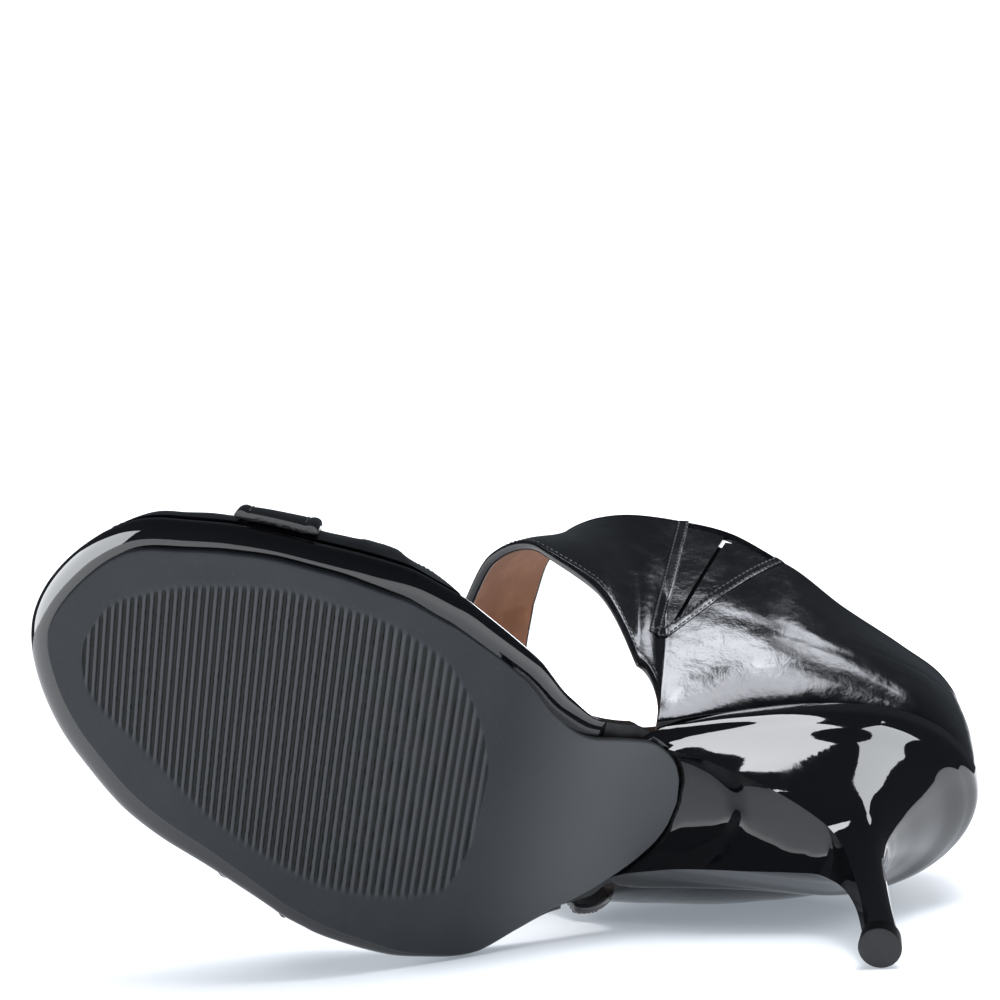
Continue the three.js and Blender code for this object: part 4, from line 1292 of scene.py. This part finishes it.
@dataclass
class CuffTrim:
    """Seam tapes, near-black sheets behind the slits that paint the shade inside them, rolled edges and
    stitch rows of the cuff.
    """

    cuff: AnkleCuff
    tape: float = 3.0
    tape_height: float = 0.35
    # Width of the near-black sheets of painted shade behind the slits.
    shade_sheet: float = 5.0

    def lines(self, side: int) -> dict:
        """Centre lines of the two seams and the slit on one side, as X and Z."""
        apex = corner("apex")
        return {
            "front": self.cuff.seam_line(apex, corner("front"), side, 70),
            "rear": self.cuff.seam_line(apex, corner("rear") + (corner("rear") - apex) * 0.3, side, 90),
            "slit": self.cuff.seam_line(corner("slit_foot"), corner("slit_top"), side, 60, 0.93),
        }

    def tapes(self, finish: bpy.types.Material, dark: bpy.types.Material) -> list:
        """Makes the raised tapes over the gusset's seams and the near-black sheets behind the slits, which
        paint the shade inside them.
        """
        pieces = []
        for half in Side:
            side, name = half.value, half.name.lower()
            line = self.lines(side)
            for seam in ("front", "rear"):
                pieces.append(self.cuff.strip(
                    f"seam_tape_{seam}_{name}", line[seam], side, self.tape, self.tape_height, 0.9, finish))
            # Near-black sheet behind the slit: painted shade inside it.
            pieces.append(self.cuff.strip(
                f"slit_web_{name}", line["slit"], side, self.shade_sheet, -WALL + 0.25, WALL + 0.2, dark))
        return pieces

    def rolls(self, finish: bpy.types.Material) -> list:
        """Makes the rolled edges: one along the front's free edge, one round the collar."""
        lap = np.linspace(0, 1, 260)
        reach = LAST_ROW - FRONT_EDGE_ROW
        row = np.where(lap < 0.5, FRONT_EDGE_ROW + lap * 2 * reach, LAST_ROW - (lap - 0.5) * 2 * reach)
        side = np.where(lap < 0.5, 1, -1)
        front = self.cuff.edge_tube("front_edge_roll", row, side, 0.0, 1.25, 0.95, finish, False)
        lap = np.linspace(0, 2, 460, endpoint=False)
        side = np.where(lap < 1, 1, -1)
        row = np.where(lap < 1, lap, 2 - lap) * LAST_ROW
        collar = self.cuff.edge_tube("collar_edge_roll", row, side, 1.0, 1.15, 0.8, finish, True)
        return [front, collar]

    def stitch_paths(self) -> list:
        """Stitch rows: along both edges of each tape and inside the front's rolled edge."""
        paths = []
        for side in (1, -1):
            line = self.lines(side)
            for seam in ("front", "rear"):
                along = np.gradient(line[seam], axis=0)
                along /= np.linalg.norm(along, axis=1, keepdims=True)
                across = np.stack([-along[:, 1], along[:, 0]], 1)
                for offset in (-TAPE_STITCH, TAPE_STITCH):
                    row = line[seam] + across * offset
                    paths.append(self.cuff.on_side(row, side, self.tape_height + 0.02))
        for side in (1, -1):
            row = np.linspace(FRONT_STITCH_ROW, LAST_ROW, 400)
            sides = np.full(row.shape, side)
            low, top, _ = self.cuff.edges(row, sides)
            share = FRONT_STITCH_INSET / np.linalg.norm(top - low, axis=1)
            paths.append(self.cuff.point(share, -0.02, row, sides))
        return paths


def stitch_row(path: np.ndarray, pitch: float, length: float,
               radius: float) -> tuple[np.ndarray, np.ndarray]:
    """Stitches along a path: six-sided spindles, thick in the middle, laid end to end with gaps.

    Args:
        path: points along the seam.
        pitch: distance from stitch to stitch.
        length: length of one.
        radius: its radius.

    Returns:
        Points as stitches by rings by six by 3, and the unit quads of one stitch.
    """
    run = np.concatenate([[0], np.cumsum(np.linalg.norm(np.diff(path, axis=0), axis=1))])
    at = (np.arange(int(run[-1] // pitch)) + 0.5) * pitch
    slope = np.gradient(path, axis=0) / np.gradient(run)[:, None]
    centre = np.stack([np.interp(at, run, path[:, k]) for k in range(3)], 1)
    along = np.stack([np.interp(at, run, slope[:, k]) for k in range(3)], 1)
    along /= np.linalg.norm(along, axis=1, keepdims=True)
    helper = np.where(np.abs(along[:, 1:2]) < 0.8, [[0.0, 1.0, 0.0]], [[1.0, 0.0, 0.0]])
    a = np.cross(along, helper)
    a /= np.linalg.norm(a, axis=1, keepdims=True)
    b = np.cross(along, a)
    turn = np.linspace(0, 2 * np.pi, 6, endpoint=False)
    reach = np.array([-0.5, -0.3, 0.0, 0.3, 0.5]) * length
    thick = np.array([0.25, 0.85, 1.0, 0.85, 0.25]) * radius
    ring = a[:, None] * np.cos(turn)[None, :, None] + b[:, None] * np.sin(turn)[None, :, None]
    points = (centre[:, None, None] + along[:, None, None] * reach[None, :, None, None]
              + ring[:, None] * thick[None, :, None, None])
    i, j = np.meshgrid(np.arange(4), np.arange(6), indexing="ij")
    k = (j + 1) % 6
    quads = np.stack([i * 6 + j, i * 6 + k, (i + 1) * 6 + k, (i + 1) * 6 + j], -1).reshape(-1, 4)
    return points, quads


def thread(name: str, paths: Sequence[np.ndarray], finish: bpy.types.Material, pitch: float = 1.75,
           length: float = 1.3, radius: float = 0.2) -> bpy.types.Object:
    """One piece with the stitches of many rows.

    Args:
        name: name of the piece.
        paths: rows as points.
        finish: the thread's material.
        pitch: distance from stitch to stitch.
        length: length of one.
        radius: its radius.

    Returns:
        The object.
    """
    clouds, quads = zip(*(stitch_row(path, pitch, length, radius) for path in paths))
    points = np.concatenate([cloud.reshape(-1, 3) for cloud in clouds])
    count = len(points) // 30
    first = (np.arange(count) * 30)[:, None, None]
    faces = (first + quads[0][None]).reshape(-1, 4).tolist()
    start = (np.arange(count) * 30)[:, None]
    ends = [(start + np.arange(6)[::-1]).tolist(), (start + 24 + np.arange(6)).tolist()]
    return make(name, points, faces + ends[0] + ends[1], finish, 70)


class Socket:
    """Shader value that takes part in Python expressions, each adding its Math node."""

    def __init__(self, graph: "Graph", link: bpy.types.NodeSocket) -> None:
        """Wraps a node's output."""
        self.graph = graph
        self.link = link

    def _math(self, operation: str, *values: object) -> "Socket":
        """Math node of an operation over values."""
        return self.graph.node("ShaderNodeMath", {"operation": operation}, dict(enumerate(values)))

    def __add__(self, other: object) -> "Socket":
        """Sum."""
        return self._math("ADD", self, other)

    __radd__ = __add__

    def __sub__(self, other: object) -> "Socket":
        """Difference."""
        return self._math("SUBTRACT", self, other)

    def __rsub__(self, other: object) -> "Socket":
        """Difference from a number."""
        return self._math("SUBTRACT", other, self)

    def __mul__(self, other: object) -> "Socket":
        """Product."""
        return self._math("MULTIPLY", self, other)

    __rmul__ = __mul__

    def __truediv__(self, other: object) -> "Socket":
        """Quotient."""
        return self._math("DIVIDE", self, other)

    def __pow__(self, other: object) -> "Socket":
        """Power."""
        return self._math("POWER", self, other)

    def step(self, low: float, high: float) -> "Socket":
        """Soft step from 0 at low to 1 at high."""
        return self.graph.node(
            "ShaderNodeMapRange", {"interpolation_type": "SMOOTHSTEP", "clamp": True},
            {"Value": self, "From Min": low, "From Max": high, "To Min": 0.0, "To Max": 1.0}, "Result")


class Graph:
    """Node tree of one material."""

    def __init__(self, name: str) -> None:
        """Starts a material with a Principled shader.

        Args:
            name: name of the material.
        """
        self.material = bpy.data.materials.new(name)
        self.material.use_nodes = True
        self.tree = self.material.node_tree
        self.shader = self.tree.nodes["Principled BSDF"]
        self.object = self.node("ShaderNodeTexCoord", {}, {}, "Object")

    def put(self, socket: bpy.types.NodeSocket, value: object) -> None:
        """Links or sets one input."""
        if isinstance(value, Socket):
            self.tree.links.new(value.link, socket)
        elif isinstance(value, (tuple, list)) and socket.type == "RGBA" and len(value) == 3:
            socket.default_value = (*value, 1.0)
        else:
            socket.default_value = value

    def node(self, kind: str, settings: dict, values: dict, output: object = 0) -> Socket:
        """Any node: its settings first, then its sockets.

        Args:
            kind: node type.
            settings: attributes, and stops of a ramp.
            values: inputs by name or place.
            output: output by name or place.

        Returns:
            The chosen output.
        """
        made = self.tree.nodes.new(kind)
        for key, value in settings.items():
            if key == "stops":
                ramp = made.color_ramp
                while len(ramp.elements) < len(value):
                    ramp.elements.new(0.5)
                for element, (at, colour) in zip(ramp.elements, value):
                    element.position = at
                    element.color = (*colour, 1.0)
            else:
                setattr(made, key, value)
        for key, value in values.items():
            self.put(made.inputs[key], value)
        return Socket(self, made.outputs[output])

    def noise(self, scale: float, detail: float = 4.0, rough: float = 0.5, stretch: tuple = (1, 1, 1),
              warp: float = 0.0) -> Socket:
        """Noise on object coordinates, its scale in waves per metre.

        Args:
            scale: waves per metre.
            detail: octaves.
            rough: strength of finer octaves.
            stretch: scale along each axis.
            warp: distortion.

        Returns:
            Values about 0.5.
        """
        place = self.node("ShaderNodeMapping", {}, {"Vector": self.object, "Scale": stretch})
        return self.node("ShaderNodeTexNoise", {}, {
            "Vector": place, "Scale": scale, "Detail": detail, "Roughness": rough, "Distortion": warp})

    def cells(self, scale: float, feature: str = "F1", stretch: tuple = (1, 1, 1)) -> Socket:
        """Distance in a cell pattern on object coordinates."""
        place = self.node("ShaderNodeMapping", {}, {"Vector": self.object, "Scale": stretch})
        values = {"Vector": place, "Scale": scale}
        return self.node("ShaderNodeTexVoronoi", {"feature": feature}, values, "Distance")

    def attribute(self, name: str) -> Socket:
        """Number that a piece carries at each point."""
        return self.node("ShaderNodeAttribute", {"attribute_name": name}, {}, "Fac")

    def mix(self, factor: object, first: object, second: object) -> Socket:
        """Colour mix."""
        made = self.tree.nodes.new("ShaderNodeMix")
        made.data_type = "RGBA"
        self.put(made.inputs[0], factor)
        self.put(made.inputs[6], first)
        self.put(made.inputs[7], second)
        return Socket(self, made.outputs[2])

    def relief(self, height: object, distance: float, strength: float = 1.0,
               below: object = None) -> Socket:
        """Bump from a height, over another relief if given."""
        values = {"Height": height, "Distance": distance, "Strength": strength}
        if below is not None:
            values["Normal"] = below
        return self.node("ShaderNodeBump", {}, values)

    def finish(self, **values: object) -> bpy.types.Material:
        """Sets the shader's sockets, named with underscores for spaces."""
        for key, value in values.items():
            self.put(self.shader.inputs[key.replace("_", " ")], value)
        return self.material


@dataclass(frozen=True)
class RubberFinish:
    """Matt blue-black tread rubber with dust, painted highlights on the ribs' ridges and along the waist,
    and painted shade in the grooves.
    """

    dark: tuple = (0.0135, 0.016, 0.0195)
    pale: tuple = (0.02, 0.0232, 0.0275)
    # Painted shade: colour of the grooves.
    painted_groove_shade: tuple = (0.004, 0.0045, 0.0055)
    rubbed: tuple = (0.08, 0.083, 0.088)
    # Painted highlight: colour of the lit ridges and of the waist's sheen.
    painted_sheen: tuple = (0.098, 0.102, 0.108)

    def make(self) -> bpy.types.Material:
        """Makes the material."""
        g = Graph("tread_rubber_matt")
        cloud = g.noise(28, 4, 0.55)
        dust = g.noise(2200, 2, 0.8).step(0.66, 0.74)
        groove = g.attribute("groove")
        colour = g.mix(cloud.step(0.35, 0.75), self.dark, self.pale)
        # Painted highlight: the ridges of the ribs paler, as if lit.
        colour = g.mix(g.attribute("ridge") * 0.3, colour, self.painted_sheen)
        # Painted shade: the grooves of the ribs darker.
        colour = g.mix(groove.step(0.15, 0.75), colour, self.painted_groove_shade)
        # Painted sheen: the unribbed waist paler.
        colour = g.mix(g.attribute("waist") * 0.75, colour, self.painted_sheen)
        colour = g.mix(dust * 0.5, colour, self.rubbed)
        grain = g.relief(g.noise(2600, 3, 0.6), 0.00006, 0.4)
        return g.finish(
            Base_Color=colour, Roughness=(cloud * 0.14 + 0.4), Specular_IOR_Level=0.24, Normal=grain)


@dataclass(frozen=True)
class PatentFinish:
    """Mirror-black patent skin over a slightly uneven core."""

    name: str = "patent_black"
    wave: float = 0.00035
    scale: float = 38.0

    def make(self) -> bpy.types.Material:
        """Makes the material."""
        g = Graph(self.name)
        slow = g.relief(g.noise(self.scale, 2, 0.4), self.wave, 0.6)
        fine = g.relief(g.noise(420, 3, 0.5), 0.00002, 0.4, slow)
        smear = g.noise(70, 4, 0.6).step(0.5, 0.8)
        return g.finish(Base_Color=(0.003, 0.003, 0.004), Roughness=smear * 0.05 + 0.03,
                        Specular_IOR_Level=0.6, Normal=fine)


@dataclass(frozen=True)
class UpperFinish:
    """Glossy black leather with fine wrinkles."""

    name: str = "upper_glossy_leather"
    wrinkle: float = 1.0

    def make(self) -> bpy.types.Material:
        """Makes the material."""
        g = Graph(self.name)
        slow = g.relief(g.noise(60, 3, 0.55), 0.0009 * self.wrinkle, 0.5)
        lines = g.noise(240, 5, 0.65, (1, 0.45, 0.8), 0.6)
        wrinkles = g.relief(lines, 0.00028 * self.wrinkle, 0.55, slow)
        grain = g.relief(g.cells(1500), 0.00005, 0.3, wrinkles)
        rub = g.noise(90, 5, 0.7).step(0.45, 0.8)
        colour = g.mix(rub, (0.002, 0.002, 0.003), (0.005, 0.005, 0.007))
        return g.finish(Base_Color=colour, Roughness=rub * 0.1 + 0.15, Coat_Weight=0.3,
                        Coat_Roughness=0.08, Specular_IOR_Level=0.4, Normal=grain)


@dataclass(frozen=True)
class LiningFinish:
    """Tan lining leather, soft and with a little wear."""

    name: str = "lining_tan"
    pale: tuple = (0.37, 0.17, 0.088)
    dark: tuple = (0.25, 0.108, 0.052)

    def make(self) -> bpy.types.Material:
        """Makes the material."""
        g = Graph(self.name)
        cloud = g.noise(55, 5, 0.6)
        colour = g.mix(cloud.step(0.35, 0.7), self.dark, self.pale)
        grain = g.relief(g.noise(1300, 4, 0.6), 0.00012, 0.5)
        return g.finish(Base_Color=colour, Roughness=0.7, Specular_IOR_Level=0.2, Normal=grain)


@dataclass(frozen=True)
class DullFinish:
    """Plain dull finish with a fine grain, for edges, tip and thread."""

    name: str
    colour: tuple
    roughness: float = 0.5
    grain: float = 0.00005

    def make(self) -> bpy.types.Material:
        """Makes the material."""
        g = Graph(self.name)
        cloud = g.noise(240, 4, 0.6)
        lift = tuple(min(1.0, value * 1.9 + 0.004) for value in self.colour)
        colour = g.mix(cloud.step(0.4, 0.75), self.colour, lift)
        return g.finish(Base_Color=colour, Roughness=cloud * 0.15 + self.roughness,
                        Normal=g.relief(g.noise(1800, 3, 0.6), self.grain, 0.5))


@dataclass(frozen=True)
class SoftBox:
    """Soft box by its direction from the shoe: azimuth 0 is the tread's side, 90 the toe's."""

    name: str
    azimuth: float
    elevation: float
    size: tuple
    radiance: float
    colour: tuple = (1.0, 1.0, 1.0)
    only: tuple = ()
    distance: float = 1.0


STAGE = ("floor", "backdrop")
HEEL_SIDE = (*STAGE, "stiletto_heel")
CUFF_SIDE = (*STAGE, "ankle_cuff", "gusset_", "seam_tape", "cuff_thread", "front_edge_roll")
SOLE_SIDE = (*STAGE, "platform_wrap")
BAND_SIDE = (*STAGE, "toe_band", "band_loop", "band_thread", "insole")
SOFT_BOXES = (
    SoftBox("heel_box", -39.0, 69.5, (0.49, 0.42), 12.0, (0.95, 0.97, 1.0), HEEL_SIDE),
    SoftBox("side_box", -78.0, 37.0, (0.3, 0.5), 9.0, (0.93, 0.96, 1.0), HEEL_SIDE),
    SoftBox("counter_box", -151.0, 70.0, (0.42, 0.2), 12.0, (0.9, 0.93, 1.0), CUFF_SIDE),
    SoftBox("back_box", -139.0, 51.0, (0.22, 0.24), 7.0, (0.9, 0.93, 1.0), CUFF_SIDE),
    SoftBox("low_box", -82.0, 70.0, (0.45, 0.46), 10.0, (0.9, 0.93, 1.0), CUFF_SIDE),
    SoftBox("waist_box", -163.0, 11.0, (0.4, 0.22), 8.0, (0.93, 0.96, 1.0), SOLE_SIDE),
    SoftBox("toe_box", 73.0, 8.0, (1.0, 0.8), 9.0, (0.94, 0.97, 1.0), SOLE_SIDE),
    SoftBox("band_box", 10.0, 60.0, (0.9, 0.9), 3.0, (0.94, 0.97, 1.0), BAND_SIDE),
)


def turned(name: str, profile: np.ndarray, material: bpy.types.Material) -> bpy.types.Object:
    """Stage surface: a profile of radius and height turned round the shoe, facing it.

    Args:
        name: name of the surface.
        profile: rows of radius and height in metres.
        material: its material.

    Returns:
        The object.
    """
    turn = np.linspace(0, 2 * np.pi, 96, endpoint=False)[:, None]
    r, z = profile[:, 0], profile[:, 1] - 0.0002
    points = np.stack(np.broadcast_arrays(r * np.cos(turn), r * np.sin(turn), z), -1)
    rows, count, _ = points.shape
    i, j = np.meshgrid(np.arange(rows), np.arange(count - 1), indexing="ij")
    a, b = i * count + j, (i + 1) % rows * count + j
    quads = np.stack([a, a + 1, b + 1, b], -1).reshape(-1, 4)
    mesh = bpy.data.meshes.new(name)
    mesh.from_pydata(points.reshape(-1, 3).tolist(), [], quads.tolist())
    mesh.shade_smooth()
    mesh.materials.append(material)
    thing = bpy.data.objects.new(name, mesh)
    bpy.context.scene.collection.objects.link(thing)
    return thing


@dataclass
class Studio:
    """Pale floor, soft light and the camera at the photo's angle."""

    camera_at: tuple = (-0.068637, 0.614897, 0.104024)
    camera_turn: tuple = (89.9077, 3.5865, -173.11255)
    lens: float = 93.26
    glow: float = 1.25
    near_glow: tuple = (0.17, 0.19, 0.215)
    far_glow: tuple = (0.9, 0.91, 0.93)

    def camera(self) -> None:
        """Sets the camera by its place and its turn in degrees."""
        data = bpy.data.cameras.new("camera")
        data.lens = self.lens
        data.sensor_width = 36.0
        data.clip_start, data.clip_end = 0.02, 30.0
        thing = bpy.data.objects.new("camera", data)
        bpy.context.scene.collection.objects.link(thing)
        turn = Euler(np.radians(self.camera_turn).tolist(), "XYZ").to_matrix().to_4x4()
        thing.matrix_world = Matrix.Translation(self.camera_at) @ turn
        bpy.context.scene.camera = thing

    def floor(self) -> None:
        """Makes a round floor, and round it a low wall that shows white but isn't reflected."""
        arc = np.linspace(0, np.pi / 2, 14)
        reach, radius, tall = 2.4, 0.4, 0.82
        near = np.array([[0.00001, 0], [0.15, 0], [0.3, 0], [0.5, 0], [0.7, 0], [0.9, 0]])
        sweep = np.stack([reach - radius + radius * np.sin(arc), radius - radius * np.cos(arc)], 1)
        far = np.concatenate([[[0.9, 0], [1.4, 0]], sweep, [[reach, tall]]])
        g = Graph("floor_white")
        speck = g.noise(30, 2, 0.5)
        away = g.node("ShaderNodeVectorMath", {"operation": "LENGTH"}, {0: g.object}, "Value")
        # Painted light and shade: the floor and wall glow dimly near the shoe, which darkens the floor
        # round it, and brightly farther out, which makes them white.
        glow = g.mix(away.step(0.06, 0.26), self.near_glow, self.far_glow)
        white = g.finish(
            Base_Color=g.mix(speck, (0.44, 0.445, 0.45), (0.455, 0.46, 0.465)), Roughness=0.6,
            Specular_IOR_Level=0.1, Emission_Color=glow, Emission_Strength=self.glow)
        turned("floor", near, white)
        turned("backdrop", far, white).visible_glossy = False

    def lamp(self, name: str, place: tuple, target: tuple, size: tuple, power: float,
             colour: tuple = (1, 1, 1)) -> None:
        """Adds a soft box.

        Args:
            name: name of the lamp.
            place: where it hangs, in metres.
            target: where it points.
            size: width and height.
            power: watts.
            colour: its colour.
        """
        data = bpy.data.lights.new(name, "AREA")
        data.shape = "RECTANGLE"
        data.size, data.size_y = size
        data.energy = power
        data.color = colour
        thing = bpy.data.objects.new(name, data)
        bpy.context.scene.collection.objects.link(thing)
        z = np.array(place, float) - np.array(target, float)
        z /= np.linalg.norm(z)
        x = np.cross((0, 0, 1) if abs(z[2]) < 0.95 else (0, 1, 0), z)
        x /= np.linalg.norm(x)
        matrix = np.eye(4)
        matrix[:3, :3] = np.stack([x, np.cross(z, x), z], 1)
        matrix[:3, 3] = place
        thing.matrix_world = Matrix(matrix.tolist())

    def light(self) -> None:
        """Lights the shoe from soft boxes round it, each given by its direction, under a dark sky."""
        world = bpy.data.worlds.new("surround")
        world.use_nodes = True
        world.node_tree.nodes["Background"].inputs[0].default_value = (0.8, 0.9, 1.0, 1)
        world.node_tree.nodes["Background"].inputs[1].default_value = 0.08
        bpy.context.scene.world = world
        for box in SOFT_BOXES:
            az, el = np.radians(box.azimuth), np.radians(box.elevation)
            away = np.array([np.sin(az) * np.cos(el), np.cos(az) * np.cos(el), np.sin(el)])
            target = np.array([-0.02, 0.0, 0.06])
            power = box.radiance * np.pi * box.size[0] * box.size[1]
            place = tuple(target + away * box.distance)
            self.lamp(box.name, place, tuple(target), box.size, power, box.colour)

    def build(self) -> None:
        """Sets up camera, floor and light."""
        bpy.context.scene.view_settings.view_transform = "Standard"
        self.camera()
        self.floor()
        self.light()


def share_light() -> None:
    """Gives each soft box the pieces that it lights, as flags do in a studio."""
    for box in SOFT_BOXES:
        group = bpy.data.collections.new(f"{box.name}_lit")
        for thing in bpy.context.scene.objects:
            if thing.type == "MESH" and thing.name.startswith(box.only):
                group.objects.link(thing)
        bpy.data.objects[box.name].light_linking.receiver_collection = group


def dress(thing: bpy.types.Object, nodes: Sequence[str] = ()) -> None:
    """Rides a piece on the shoe and what it stands for.

    Args:
        thing: the piece.
        nodes: nodes of the part that it replaces.
    """
    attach(thing, "root")
    if nodes:
        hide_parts(*nodes)
    log.info("%s: %d faces", thing.name, len(thing.data.polygons))


def main() -> None:
    """Builds the sub-assemblies in order and dresses them."""
    logging.basicConfig(level=logging.INFO)
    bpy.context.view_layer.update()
    Studio().build()
    rubber = RubberFinish().make()
    patent = PatentFinish().make()
    heel_patent = PatentFinish("patent_heel", 0.00005, 24.0).make()
    upper = UpperFinish().make()
    lining = LiningFinish().make()
    tip = DullFinish("tip_plastic", (0.004, 0.004, 0.005), 0.45).make()
    edge = DullFinish("painted_edge", (0.006, 0.006, 0.007), 0.3).make()
    # Near-black sheet behind each slit: painted shade inside it.
    shade_sheet = DullFinish("slit_web_black", (0.004, 0.004, 0.005), 0.6).make()
    roll = DullFinish("rolled_edge_black", (0.006, 0.006, 0.008), 0.14, 0.00002).make()
    cotton = DullFinish("thread_black", (0.055, 0.056, 0.06), 0.3).make()
    dress(Outsole().build(rubber), ["outsole"])
    dress(Platform().build(patent), ["platform"])
    dress(Insole().build(lining, edge), ["insole"])
    dress(Heel().build(heel_patent), ["heel"])
    dress(TopLift().build(tip), ["top_lift"])
    band, loop, ankle = ToeBand(), BandLoop(), AnkleCuff()
    dress(band.build(upper, lining), ["toe_band"])
    dress(loop.build(upper), ["band_loop"])
    cuff, medial, lateral = ankle.build(upper, lining)
    dress(cuff, ["ankle_cuff"])
    dress(medial, ["gusset_medial"])
    dress(lateral, ["gusset_lateral"])
    trim = CuffTrim(ankle)
    for piece in trim.tapes(upper, shade_sheet) + trim.rolls(roll):
        dress(piece)
    dress(thread("cuff_thread", trim.stitch_paths(), cotton, *CUFF_STITCH))
    band_paths = band.stitch_paths() + loop.stitch_paths()
    dress(thread("band_thread", band_paths, cotton, *BAND_STITCH))
    share_light()


if __name__ == "__main__":
    main()
